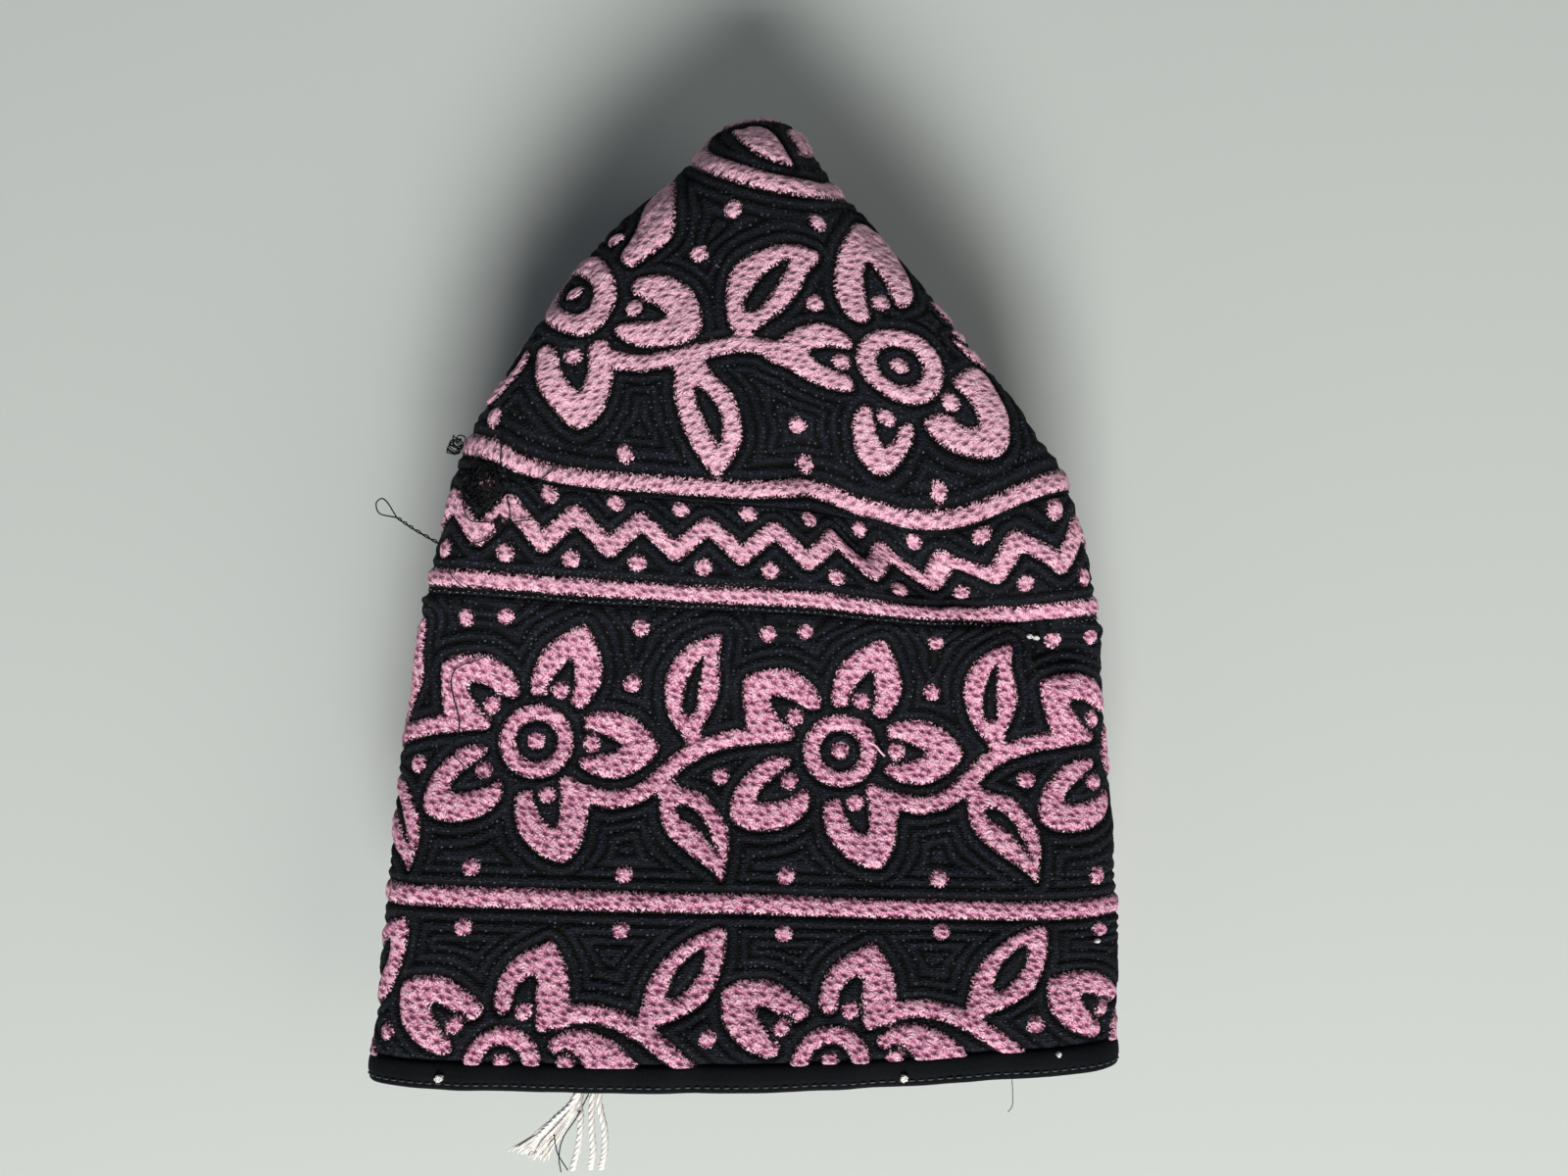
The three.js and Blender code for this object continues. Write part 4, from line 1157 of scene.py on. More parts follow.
def new_material(name):
    """An empty node material, and the function that adds a node to it."""
    material = bpy.data.materials.new(name)
    material.use_nodes = True
    material.node_tree.nodes.clear()
    return material, functools.partial(add_node, material.node_tree)


# In the materials a MapRange is given a value, the low and the high end of its range, and the two numbers
# that they turn into, which are 0 and 1 if left out


def quilted_cotton(colours):
    """Black cotton, knitted fine and quilted: matt, a little blue, its cords greyer on top, partly worn by
    handling and partly a painted highlight, and its grooves darkened by painted shade.
    The knit is 0.5 mm wide, drawn a little coarser than the real one so that it shows."""
    material, add = new_material("quilted_black_cotton")
    place = add("Attribute", output="Vector", attribute_name="cloth")
    edge = add("Attribute", output="Fac", attribute_name="edge")
    knit = add("TexVoronoi", {"Vector": place, "Scale": KNIT_PER_MM, "Randomness": 0.6})
    cloudy = add("TexNoise", {"Vector": place, "Scale": CLOUDS_PER_MM, "Detail": 3.0})
    grain = add("TexNoise", {"Vector": place, "Scale": GRAIN_PER_MM, "Detail": 4.0, "Roughness": 0.75})
    # The cords: |sin(pi * cords)| to a power, and none under the thread
    cords = add("Attribute", output="Fac", attribute_name="cords")
    turn = add("Math", (cords, math.pi), operation="MULTIPLY")
    swing = add("Math", (turn,), operation="SINE")
    level = add("Math", (swing,), operation="ABSOLUTE")
    round_top = add("Math", (level, QUILT_FULLNESS), operation="POWER")
    off_thread = add("MapRange", (cords, 0.0, 0.05))
    ridge = add("Math", (round_top, off_thread), **PRODUCT)
    # The tops of the cords are greyer, in patches and grain: partly wear, partly a painted highlight
    top = add("MapRange", (ridge, 0.3, 1.0, 0.05, 1.0))
    patch = add("MapRange", (cloudy, 0.3, 0.7, 0.35, 1.0))
    patchy = add("Math", (top, patch), **PRODUCT)
    grainy = add("MapRange", (grain, 0.36, 0.68, 0.0, 1.4))
    raised = add("Math", (patchy, grainy), **PRODUCT)
    colour = add("Mix", (raised, tuple(colours.cloth), tuple(colours.worn)), data_type="RGBA")
    # Painted shade: the cloth darkens into the grooves between the cords
    low = add("MapRange", (ridge, 0.1, 0.6, 1.0, 0.0))
    colour = add("Mix", (low, colour, linear(GROOVE_SHADE_BLACK)), data_type="RGBA")
    # Single stitches of the quilting thread show as small grey points along the grooves
    stitch = add("TexVoronoi", {"Vector": place, "Scale": QUILT_STITCHES_PER_MM, "Randomness": 0.45})
    groove = add("MapRange", (ridge, 0.05, 0.4, 0.9, 0.0))
    from_thread = add("MapRange", (edge, 1.5, 2.5))
    in_groove = add("Math", (groove, from_thread), **PRODUCT)
    in_grain = add("MapRange", (grain, 0.4, 0.65))
    wanted = add("Math", (in_groove, in_grain), operation="ADD")
    near = add("MapRange", (stitch, 0.12, 0.28, 1.0, 0.0))
    point = add("Math", (near, wanted), **PRODUCT)
    colour = add("Mix", (point, colour, linear(GREY_POINT)), data_type="RGBA")
    # Lint and loose fibre ends: sparse pale specks
    speck = add("TexVoronoi", {"Vector": place, "Scale": SPECKS_PER_MM, "Randomness": 1.0})
    pale = add("MapRange", (speck, 0.03, 0.05, 0.6, 0.0))
    colour = add("Mix", (pale, colour, linear(PALE_SPECK)), data_type="RGBA")
    # The relief: the knit and its grain on the cords
    surface = add("Math", (knit, grain), operation="ADD")
    relief = add("Math", (ridge, QUILT_RELIEF / KNIT_RELIEF, surface), operation="MULTIPLY_ADD")
    bump = add("Bump", {"Height": relief, "Strength": 1.0, "Distance": KNIT_RELIEF * MM})
    shader = add("BsdfPrincipled", {
        "Base Color": colour, "Roughness": 0.9, "IOR": 1.5, "Specular IOR Level": 0.2, "Normal": bump})
    add("OutputMaterial", {"Surface": shader})
    return material


def rayon_embroidery(colours, sizes):
    """Pink rayon thread, machine embroidered in close rows: silky tufts that spread from the needle points,
    with a painted highlight on their lit streaks, and painted shade on the others and in the small hole at
    each root. Single threads tooth its edge over the black cloth."""
    material, add = new_material("pink_rayon_thread")
    place = add("Attribute", output="Vector", attribute_name="cloth")
    edge = add("Attribute", output="Fac", attribute_name="edge")
    # The needle points: a sheared grid, each row half a stitch along from the last, a little uneven
    stitches, rows = 1 / sizes.stitch_width, 1 / sizes.stitch_row
    along = add("VectorMath", (place, (stitches, rows / 2, 0)), operation="DOT_PRODUCT")
    row = add("VectorMath", (place, (0, rows, 0)), operation="DOT_PRODUCT")
    cell = add("CombineXYZ", (along, row))
    away = add("TexVoronoi", {"Vector": cell, "Scale": 1.0, "Randomness": 0.6}, voronoi_dimensions="2D")
    needle = away.node.outputs
    # Tufts: streaks that run outwards from each needle point, different at each
    outwards = add("VectorMath", (cell, needle["Position"]), operation="SUBTRACT")
    heading = add("VectorMath", (outwards,), operation="NORMALIZE")
    own = add("VectorMath", (needle["Color"], TUFT_APART), operation="SCALE")
    spread = add("VectorMath", (heading, TUFT_STREAKS, own), operation="MULTIPLY_ADD")
    streak = add("TexNoise", {"Vector": spread, "Scale": 1.0, "Detail": 1.0})
    slanted = add("Mapping", {"Vector": place, **EMBROIDERY_FIBRES})
    fibre = add("TexNoise", {"Vector": slanted, "Scale": 1.0, "Detail": 2.0, "Roughness": 0.6})
    both = add("Math", (streak, fibre), operation="ADD")
    # Painted light and shade: a painted highlight on their lit threads, painted shade on their dull ones and
    # in the holes at their roots
    lit = add("MapRange", (both, 0.94, 1.1))
    off_root = add("MapRange", (away, 0.15, 0.5))
    bright = add("Math", (lit, off_root), **PRODUCT)
    colour = add("Mix", (bright, tuple(colours.thread), tuple(colours.light)), data_type="RGBA")
    # Painted shade on the dull streaks
    dull = add("MapRange", (both, 0.82, 0.96, 0.7, 0.0))
    colour = add("Mix", (dull, colour, tuple(colours.shaded)), data_type="RGBA")
    # The holes at the needle points dip in the relief, and painted shade darkens them
    pit = add("MapRange", (away, 0.08, 0.36, 1.0, 0.0))
    between = add("MapRange", (fibre, 0.35, 0.6, 1.0, 0.5))
    hole = add("Math", (pit, between), **PRODUCT)
    colour = add("Mix", (hole, colour, tuple(colours.shaded)), data_type="RGBA")
    # Painted sheen: the thread is painted lighter towards the crown, where it shows brighter
    towards_tip = add("SeparateXYZ", (add("TexCoord", output="Object"),), output="Y")
    crown_sheen = add("MapRange", (towards_tip, CROWN_SHEEN_FROM * MM, CROWN_SHEEN_TO * MM, 0.0, CROWN_SHEEN_BY))
    colour = add("Mix", (crown_sheen, colour, tuple(colours.light)), data_type="RGBA")
    # The toothed edge: bright threads reach out further than dull ones
    teeth = add("TexNoise", {"Vector": place, "Scale": TEETH_PER_MM, "Detail": 1.0})
    uneven = add("Math", (both, teeth), operation="ADD")
    tooth = add("MapRange", (uneven, 1.3, 1.7, TOOTH_REACH, -TOOTH_REACH))
    reach = add("Math", (edge, tooth), operation="ADD")
    # Past its teeth the edge takes the painted shade of the groove round the thread
    past = add("MapRange", (reach, -0.28, -0.14))
    colour = add("Mix", (past, colour, linear(GROOVE_SHADE_BLACK)), data_type="RGBA")
    relief = add("Math", (both, pit), operation="SUBTRACT")
    bump = add("Bump", {"Height": relief, "Strength": 1.0, "Distance": THREAD_RELIEF * MM})
    shader = add("BsdfPrincipled", {
        "Base Color": colour, "Roughness": 0.55, "IOR": 1.5, "Specular IOR Level": 0.3,
        "Specular Tint": linear(PINK_LIGHT), "Normal": bump})
    add("OutputMaterial", {"Surface": shader})
    return material


def bound_cotton():
    """Black bias binding, woven and pressed round the rim: smoother than the knit, with a dull shine."""
    material, add = new_material("black_bias_binding")
    place = add("Attribute", output="Vector", attribute_name="cloth")
    slanted = add("Mapping", {"Vector": place, **BINDING_WEAVE})
    rib = add("TexNoise", {"Vector": slanted, "Scale": 1.0, "Detail": 4.0, "Roughness": 0.7})
    worn = add("MapRange", (rib, 0.3, 0.75))
    colour = add("Mix", (worn, linear(BLACK_BINDING), linear(BINDING_WORN)), data_type="RGBA")
    bump = add("Bump", {"Height": rib, "Strength": 0.5, "Distance": BINDING_RELIEF * MM})
    shader = add("BsdfPrincipled", {
        "Base Color": colour, "Roughness": 0.8, "IOR": 1.5, "Specular IOR Level": 0.12, "Normal": bump})
    add("OutputMaterial", {"Surface": shader})
    return material


def spun_thread(name, hex_colour, shade_colour, roughness, shine):
    """Sewing thread: spun fibres, its colour a little uneven along it, with a dull or a silky shine."""
    material, add = new_material(name)
    place = add("TexCoord", output="Object")
    fibre = add("TexNoise", {"Vector": place, "Scale": THREAD_FIBRES_PER_MM / MM, "Detail": 2.0})
    shade = add("MapRange", (fibre, 0.3, 0.7, 0.0, 0.5))
    colour = add("Mix", (shade, linear(hex_colour), linear(shade_colour)), data_type="RGBA")
    bump = add("Bump", {"Height": fibre, "Strength": 0.4, "Distance": FIBRE_RELIEF * MM})
    shader = add("BsdfPrincipled", {
        "Base Color": colour, "Roughness": roughness, "IOR": 1.5, "Specular IOR Level": shine,
        "Normal": bump})
    add("OutputMaterial", {"Surface": shader})
    return material


def pale_laminate(colours):
    """The table top: pressed laminate, smooth and matt, its tone a little cloudy."""
    material, add = new_material("pale_laminate")
    place = add("TexCoord", output="Object")
    tone = add("TexNoise", {"Vector": place, "Scale": TABLE_CLOUDS_PER_M, "Detail": 2.0})
    shade = add("MapRange", (tone, 0.3, 0.7, 0.0, 0.12))
    colour = add("Mix", (shade, tuple(colours.table), linear(TABLE_SHADE)), data_type="RGBA")
    shader = add("BsdfPrincipled", {
        "Base Color": colour, "Roughness": 0.8, "IOR": 1.5, "Specular IOR Level": 0.2})
    add("OutputMaterial", {"Surface": shader})
    return material


def tube(path, radius, sides=6):
    """Vertices and faces of a round tube carried along a path, with a point at each end: at each place, the
    radius times the cosine of the angle one way across the path, and times its sine the other way."""
    path = np.asarray(path, float)
    tangent = np.gradient(path, axis=0)
    tangent /= np.maximum(np.linalg.norm(tangent, axis=1, keepdims=True), TINY)
    aside = np.cross(tangent, NO_THREAD_RUNS)
    aside /= np.maximum(np.linalg.norm(aside, axis=1, keepdims=True), TINY)
    upward = np.cross(aside, tangent)
    angle = 2 * np.pi * np.arange(sides) / sides
    ring = radius * (np.cos(angle)[:, None, None] * aside + np.sin(angle)[:, None, None] * upward)
    places = (path + ring).transpose(1, 0, 2).reshape(-1, 3)
    n = len(path)
    quads = grid_quads(n, sides)
    places = np.concatenate([places, [path[0] - tangent[0] * radius, path[-1] + tangent[-1] * radius]])
    places[:, 2] = np.maximum(places[:, 2], TABLE_CLEARANCE)
    k = np.arange(sides)
    start = np.stack([(k + 1) % sides, k, np.full(sides, n * sides)], 1)
    end = np.stack([(n - 1) * sides + k, (n - 1) * sides + (k + 1) % sides, np.full(sides, n * sides + 1)], 1)
    return places, quads, np.concatenate([start, end])


def joined_tubes(name, threads, material, sides=6):
    """One piece from several threads, each a path and its radius in mm."""
    places, quads, triangles, count = [], [], [], 0
    for path, radius in threads:
        p, q, t = tube(path, radius, sides)
        places.append(p)
        quads.append(q + count)
        triangles.append(t + count)
        count += len(p)
    faces = [np.concatenate(quads), np.concatenate(triangles)]
    return new_mesh(name, np.concatenate(places), faces, material)


def open_curve(points, steps=8):
    """A smooth open curve: a Catmull-Rom curve through points in space."""
    p = np.array(points, float)
    p = np.concatenate([[2 * p[0] - p[1]], p, [2 * p[-1] - p[-2]]])
    t = (np.arange(steps) / steps)[None, :, None]
    a, b, c, d = (p[k:len(p) - 3 + k, None, :] for k in range(4))
    curve = 0.5 * (2 * b + (c - a) * t + (2 * a - 5 * b + 4 * c - d) * t ** 2
                   + (3 * b - a - 3 * c + d) * t ** 3)
    return np.concatenate([curve.reshape(-1, 3), p[-2:-1]])


def laid_thread(cloth, points, lift):
    """A thread that lies on the cloth, along a smooth curve through places round and up it."""
    curve = open_curve([(*point, lift) for point in points])
    return cloth.at(curve[:, 0], curve[:, 1], curve[:, 2])


def tangle(cloth, middle, size, loops, lift, random):
    """Loops of thread that wander over one spot: each is a sum of a few waves, the slower ones wider."""
    turn = np.linspace(0, 2 * np.pi, TANGLE_POINTS)
    waves = np.arange(1, TANGLE_WAVES + 1)
    even, varied = TANGLE_LIFT
    paths = []
    for _ in range(loops):
        reach = random.normal(0, 1, (3, TANGLE_WAVES)) / waves ** TANGLE_FALL
        start = random.uniform(0, 2 * np.pi, (3, TANGLE_WAVES))
        swing = np.sin(waves[None, :, None] * turn + start[:, :, None])
        across, along, off = (reach[:, :, None] * swing).sum(1)
        far = np.hypot(across, along)
        held = TANGLE_HOLD * np.tanh(far / TANGLE_HOLD) / far
        across, along = across * held, along * held
        height = lift * (even + varied * np.tanh(off))
        paths.append(cloth.at(middle[0] + size * across / BAND_MM, middle[1] + size * along, height))
    return paths


def plied(points):
    """A thick thread: plies that wind round its middle line as helices."""
    middle = open_curve(points, steps=12)
    share = np.linspace(0, 1, len(middle))
    paths = []
    for k in range(PLIES):
        angle = 2 * np.pi * (k / PLIES + PLY_TURNS * share)
        offset = PLY_REACH * np.stack([np.cos(angle), 0 * angle, np.sin(angle)], -1)
        paths.append(middle + offset)
    return paths


def frayed(points, fibres, start_width, end_width, random):
    """Fibres that leave a thread's middle line and spread, each with its own heading, sway and end."""
    middle = open_curve(points, steps=10)
    share = np.linspace(0, 1, len(middle))
    width = start_width + (end_width - start_width) * share ** FRAY_POWER
    paths = []
    for _ in range(fibres):
        angle = random.uniform(0, 2 * np.pi)
        reach = width * np.sqrt(random.uniform(0, 1))
        sway = FIBRE_SWAY * np.sin(2 * np.pi * (random.uniform(1, 2) * share + random.uniform(0, 1)))
        across, upward = reach * np.cos(angle), reach * np.sin(angle)
        offset = np.stack([across + sway, BUNDLE_Y * across, BUNDLE_Z * upward], -1)
        cut = len(middle) - random.integers(0, FIBRE_CUT)
        paths.append((middle + offset)[:cut])
    return paths


def rim_hem(cloth, sizes):
    """The hem: a closed tube round the rim. Its section is an oval with a cosine to a power up the cloth and
    a sine to a power across it, proud of the wall on both sides, less the groove of the stitches, a bell
    curve. Two sines multiplied make its slight waves."""
    columns = columns_round(sizes.front_step * HEM_COLUMN_SHARE, sizes.far_step)
    angle = 2 * np.pi * np.arange(HEM_SIDES) / HEM_SIDES
    sine, cosine = np.sin(angle), np.cos(angle)
    up = HEM_TOP / 2 * (1 - np.sign(cosine) * np.abs(cosine) ** HEM_SQUARE_UP)
    full = np.abs(sine) ** HEM_SQUARE_OUT
    lift = np.where(sine > 0, HEM_PROUD, -WALL - HEM_PROUD) * full - WALL / 2 * (1 - full)
    groove = HEM_GROOVE * np.exp(-((up - HEM_STITCH_UP) / HEM_GROOVE_WIDTH) ** 2) * (sine > 0)
    rounds, place = np.meshgrid(columns, up)
    quick, slow, start = HEM_WAVES
    wave = HEM_WAVE * np.sin(rounds * quick) * np.sin(rounds * slow + start) * (sine > 0)[:, None]
    places = cloth.at(rounds, np.maximum(place, HEM_LOWEST), (lift - groove)[:, None] + wave)
    quads = grid_quads(HEM_SIDES + 1, len(columns)) % (HEM_SIDES * len(columns))
    # The weave's flat place at each corner, held from jumping back at the last column
    across = np.repeat(np.arange(HEM_SIDES)[:, None] / 2, len(columns), 1)
    corners = np.stack([rounds * BAND_MM, across], -1).reshape(-1, 2)[quads]
    jump = np.ptp(corners[:, :, 0], axis=1) > REPEATS * BAND_MM / 2
    corners[jump, :, 0] = corners[jump, :1, 0]
    piece = new_mesh("rim_hem", places.reshape(-1, 3), [quads], bound_cotton(),
                     corners=[corners])
    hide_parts("rim_binding")


def hem_stitches(cloth):
    """Running stitch: short threads end to end along the groove, each arched by half a sine."""
    total = int(REPEATS * LOWER_ROW["repeat"] / HEM_STITCH_PITCH)
    along = np.linspace(*HEM_STITCH_SHOWN, STITCH_STEPS)
    arch = HEM_PROUD - HEM_GROOVE + HEM_STITCH_ARCH * np.sin(np.pi * np.linspace(0, 1, STITCH_STEPS))
    threads = []
    for k in range(total):
        path = cloth.at((k + along) / total * REPEATS, np.full(STITCH_STEPS, HEM_STITCH_UP), arch)
        threads.append((path, HEM_STITCH_RADIUS))
    black = spun_thread("black_topstitch_thread", TOPSTITCH, BLACK_THREAD, roughness=0.5, shine=0.5)
    joined_tubes("hem_stitches", threads, black)


def seam_stitch(cloth, side, k, total, random):
    """One short arc on one side of the second line. Its ends are sunk in the cloth, and its middle stands
    more or less out of it, by a sine of the place round the cap."""
    length = random.uniform(*SEAM_STITCH_LENGTH) * SEAM_STITCH_PITCH
    start = (k + random.uniform(-SEAM_STITCH_STRAY, SEAM_STITCH_STRAY)) * SEAM_STITCH_PITCH
    rounds = (start + length * np.array([0, 0.5, 1])) / (total * SEAM_STITCH_PITCH) * REPEATS
    off = LINES["border"][1] / 2 + SEAM_STITCH_OFF
    aside = side * off + random.uniform(-SEAM_STITCH_ASIDE, SEAM_STITCH_ASIDE)
    up = line_place("border", rounds) + aside
    change = SEAM_STITCH_CHANGE * side * math.sin(2 * rounds[0])
    lift = np.full(3, SEAM_STITCH_SINK)
    lift[1] = random.uniform(*SEAM_STITCH_OUT) - change
    return cloth.at(rounds, up, lift), SEAM_STITCH_RADIUS


def side_loop():
    """The loop at the left: one thread that runs out along a stretch, round its eye and back. On the stretch
    its two lines wind round each other: they stand apart by a sine along X, by a cosine along Y, and in
    height by a sine that is out of step with the first."""
    out = open_curve(LOOP_STRETCH, steps=14)
    turn = 2 * np.pi * LOOP_TWISTS * np.linspace(0, 1, len(out))
    side = LOOP_TWIST_REACH * np.stack([np.sin(turn), np.cos(turn), np.sin(turn + LOOP_OUT_OF_STEP)], -1)
    eye = open_curve([out[-1] + side[-1], *LOOP_EYE, out[-1] - side[-1]], steps=10)
    return np.concatenate([out + side, eye[1:-1], (out - side)[::-1]])


def daylight(scene):
    """An even, pale sky all round, and one lamp for each row of the lights, turned to the middle."""
    world = bpy.data.worlds.new("soft_daylight")
    world.use_nodes = True
    sky = world.node_tree.nodes["Background"]
    sky.inputs["Color"].default_value = linear(SKY)
    sky.inputs["Strength"].default_value = SKY_STRENGTH
    scene.world = world
    for name, place, size, power, tint in LIGHTS:
        light = bpy.data.lights.new(name, "AREA")
        light.size, light.energy, light.color = size, power, linear(tint)[:3]
        lamp = bpy.data.objects.new(name, light)
        lamp.location = place
        level = math.hypot(place[0], place[1])
        lamp.rotation_euler = (math.atan2(level, place[2]), 0, math.atan2(place[0], -place[1]))
        scene.collection.objects.link(lamp)


def camera_above(scene):
    """The camera straight above the cap's middle, looking down."""
    camera = bpy.data.cameras.new("camera")
    camera.sensor_width = SENSOR_WIDTH
    camera.lens = camera.sensor_width * CAMERA_HEIGHT / VIEW_WIDTH
    camera.clip_start = NEAREST_SEEN
    viewer = bpy.data.objects.new("camera", camera)
    viewer.location = (CENTRE[0] * MM, CENTRE[1] * MM, CAMERA_HEIGHT)
    scene.collection.objects.link(viewer)
    scene.camera = viewer


def scene_sizes():
    """The sizes that the user can change."""
    return bpy.context.scene.kumma_sizes


def scene_colours():
    """The colours that the user can change."""
    return bpy.context.scene.kumma_colours


class KUMMA_OT_cloth(bpy.types.Operator):
    """Quilted cloth of the crown, the zigzag band and the tall band"""
    bl_idname = "kumma.cloth"
    bl_label = "Quilted cloth"

    def execute(self, context):
        thread, clear = cloth_and_embroidery()[1:]
        sizes, cotton = scene_sizes(), quilted_cotton(scene_colours())
        cloth_sheet("side_cloth", thread.side, clear.side, HEM_TOP, BAND_TOP, "side_band", cotton, sizes)
        cloth_sheet("border_cloth", thread.border, clear.border, BAND_TOP, CROWN_FROM, "border_band",
                    cotton, sizes)
        cloth_sheet("crown_cloth", thread.crown, clear.crown, CROWN_FROM, CLOTH_HEIGHT, "crown",
                    cotton, sizes, crown=True)
        return {"FINISHED"}


class KUMMA_OT_embroidery(bpy.types.Operator):
    """Raised pink embroidery on the three stretches of cloth"""
    bl_idname = "kumma.embroidery"
    bl_label = "Embroidery"

    def execute(self, context):
        thread, sizes = cloth_and_embroidery()[1], scene_sizes()
        rayon = rayon_embroidery(scene_colours(), sizes)
        embroidery_pad("side_embroidery", thread.side, HEM_TOP - PAD_MARGIN, BAND_TOP - PAD_UNDER_LEDGE,
                       rayon, sizes)
        embroidery_pad("border_embroidery", thread.border, BAND_TOP, CROWN_FROM - PAD_MARGIN, rayon, sizes)
        embroidery_pad("crown_embroidery", thread.crown, CROWN_FROM + PAD_MARGIN, OUTER_STOP,
                       rayon, sizes, crown=True)
        return {"FINISHED"}


class KUMMA_OT_hem(bpy.types.Operator):
    """Rolled hem round the rim, with its running stitch"""
    bl_idname = "kumma.hem"
    bl_label = "Hem"

    def execute(self, context):
        cloth, sizes = cloth_and_embroidery()[0], scene_sizes()
        rim_hem(cloth, sizes)
        hem_stitches(cloth)
        return {"FINISHED"}


class KUMMA_OT_seam_stitches(bpy.types.Operator):
    """Small glassy stitches along both sides of the second line"""
    bl_idname = "kumma.seam_stitches"
    bl_label = "Seam stitches"

    def execute(self, context):
        cloth = cloth_and_embroidery()[0]
        total = int(REPEATS * BAND_MM / SEAM_STITCH_PITCH)
        random = np.random.default_rng(SEAM_SEED)
        threads = [seam_stitch(cloth, side, k, total, random) for side in (-1, 1) for k in range(total)]
        glassy = spun_thread("clear_nylon_thread", GLASSY_THREAD, BLACK_THREAD, roughness=0.25, shine=0.8)
        joined_tubes("seam_stitches", threads, glassy, sides=5)
        return {"FINISHED"}


class KUMMA_OT_black_threads(bpy.types.Operator):
    """Loose black sewing thread: tangles on the zigzag, strands over the embroidery and a loop beside it"""
    bl_idname = "kumma.black_threads"
    bl_label = "Loose black thread"

    def execute(self, context):
        cloth = cloth_and_embroidery()[0]
        random = np.random.default_rng(BLACK_SEED)
        paths = [laid_thread(cloth, points, STRAND_LIFT) for points in BLACK_STRANDS.values()]
        for middle, size, loops, lift in TANGLES:
            paths += tangle(cloth, middle, size, loops, lift, random)
        threads = [(path, THREAD_RADIUS) for path in paths]
        threads.append((side_loop(), THREAD_RADIUS * LOOP_THICKER))
        threads.append((open_curve(HEM_HAIR), THREAD_RADIUS * HEM_HAIR_SHARE))
        black = spun_thread("loose_black_thread", BLACK_THREAD, BLACK_FIBRE, roughness=0.6, shine=0.2)
        joined_tubes("black_threads", threads, black, sides=5)
        return {"FINISHED"}


class KUMMA_OT_white_threads(bpy.types.Operator):
    """Loose white cotton threads that hang out of the mouth under the front of the rim"""
    bl_idname = "kumma.white_threads"
    bl_label = "Loose white thread"

    def execute(self, context):
        random = np.random.default_rng(WHITE_SEED)
        threads = []
        for points in WHITE_STRANDS.values():
            threads += [(path, PLY_RADIUS) for path in plied(points)]
        for points, fibres, start_width, end_width in FRAYED_ENDS.values():
            paths = frayed(points, fibres, start_width, end_width, random)
            threads += [(path, FIBRE_RADIUS) for path in paths]
        white = spun_thread("loose_white_cotton", WHITE_THREAD, WHITE_FIBRE, roughness=0.8, shine=0.25)
        joined_tubes("white_threads", threads, white)
        crossing = [(open_curve(points), THREAD_RADIUS) for points in CROSSING_THREADS]
        black = spun_thread("black_end", BLACK_THREAD, BLACK_FIBRE, roughness=0.55, shine=0.4)
        joined_tubes("black_thread_ends", crossing, black, sides=5)
        return {"FINISHED"}


class KUMMA_OT_lint(bpy.types.Operator):
    """Bits of white lint, and one pink thread that has worked loose"""
    bl_idname = "kumma.lint"
    bl_label = "Lint"

    def execute(self, context):
        cloth = cloth_and_embroidery()[0]
        random = np.random.default_rng(LINT_SEED)
        threads = []
        for rounds, up, size in LINT:
            paths = tangle(cloth, (rounds, up), size, LINT_LOOPS, LINT_LIFT, random)
            threads += [(path, LINT_RADIUS) for path in paths]
        white = spun_thread("white_lint", LINT_WHITE, WHITE_FIBRE, roughness=0.9, shine=0.2)
        joined_tubes("white_lint", threads, white, sides=5)
        pink = spun_thread("loose_pink_rayon", PINK_LIGHT, PINK_THREAD, roughness=0.5, shine=0.5)
        end = laid_thread(cloth, LOOSE_PINK, LOOSE_PINK_LIFT)
        joined_tubes("pink_thread", [(end, LOOSE_PINK_RADIUS)], pink)
        return {"FINISHED"}


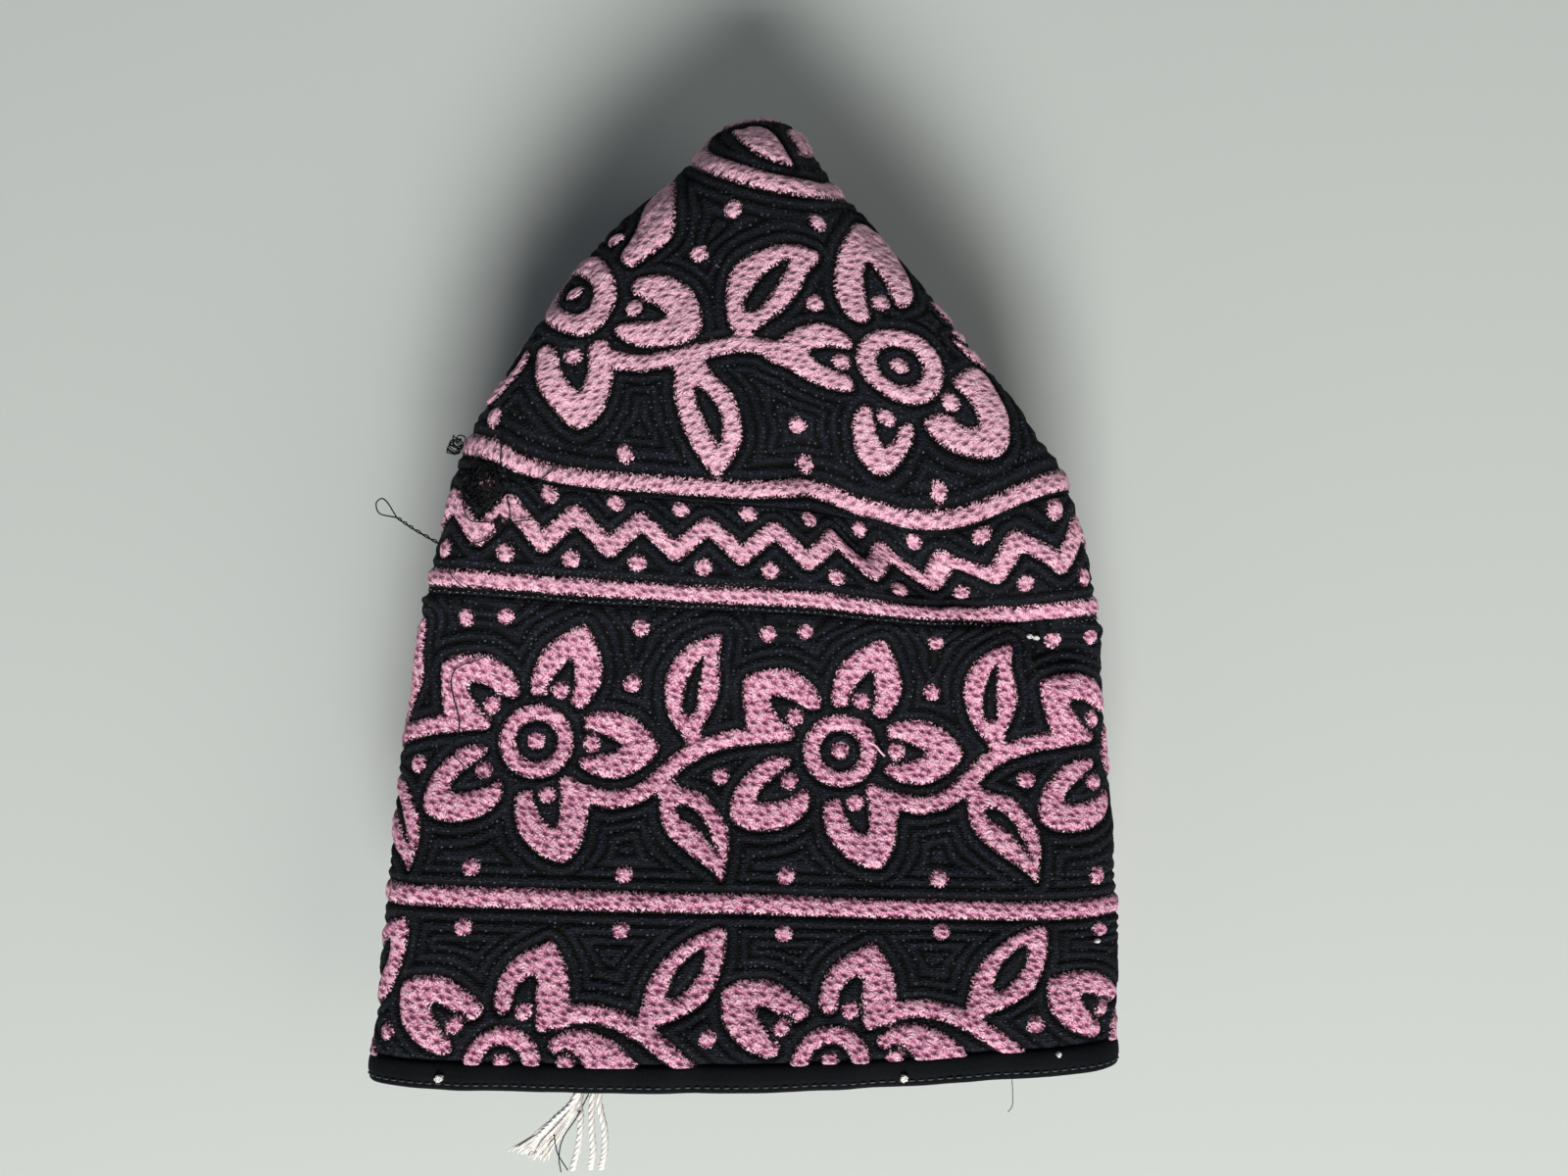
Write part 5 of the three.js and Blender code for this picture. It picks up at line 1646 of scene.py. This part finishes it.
class KUMMA_OT_stage(bpy.types.Operator):
    """Table top, soft daylight and the camera straight above"""
    bl_idname = "kumma.stage"
    bl_label = "Stage"

    def execute(self, context):
        bpy.ops.mesh.primitive_plane_add(size=TABLE_SIZE)
        floor = context.object
        floor.name = "table_top"
        floor.data.materials.append(pale_laminate(scene_colours()))
        daylight(context.scene)
        camera_above(context.scene)
        context.scene.view_settings.view_transform = "Standard"
        return {"FINISHED"}


class KUMMA_PT_sidebar(bpy.types.Panel):
    """The steps that build the kumma, with its sizes and colours"""
    bl_label = "Kumma"
    bl_idname = "KUMMA_PT_sidebar"
    bl_space_type = "VIEW_3D"
    bl_region_type = "UI"
    bl_category = "Kumma"

    def draw(self, context):
        for step in STEPS:
            self.layout.operator(step.bl_idname)
        for group in (context.scene.kumma_sizes, context.scene.kumma_colours):
            for name in group.__annotations__:
                self.layout.prop(group, name)


STEPS = (
    KUMMA_OT_stage, KUMMA_OT_cloth, KUMMA_OT_embroidery, KUMMA_OT_hem, KUMMA_OT_seam_stitches,
    KUMMA_OT_black_threads, KUMMA_OT_white_threads, KUMMA_OT_lint)
CLASSES = (KummaSizes, KummaColours, *STEPS, KUMMA_PT_sidebar)


def register():
    """Registers the classes, and gives the scene its sizes and colours."""
    for one in CLASSES:
        bpy.utils.register_class(one)
    bpy.types.Scene.kumma_sizes = bpy.props.PointerProperty(type=KummaSizes)
    bpy.types.Scene.kumma_colours = bpy.props.PointerProperty(type=KummaColours)


def unregister():
    """Takes the classes and the scene's sizes and colours away again."""
    del bpy.types.Scene.kumma_sizes
    del bpy.types.Scene.kumma_colours
    for one in reversed(CLASSES):
        bpy.utils.unregister_class(one)


def main():
    """Builds the kumma step by step."""
    register()
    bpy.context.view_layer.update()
    bpy.ops.kumma.stage()
    bpy.ops.kumma.cloth()
    bpy.ops.kumma.embroidery()
    bpy.ops.kumma.hem()
    bpy.ops.kumma.seam_stitches()
    bpy.ops.kumma.black_threads()
    bpy.ops.kumma.white_threads()
    bpy.ops.kumma.lint()


if __name__ == "__main__":
    main()
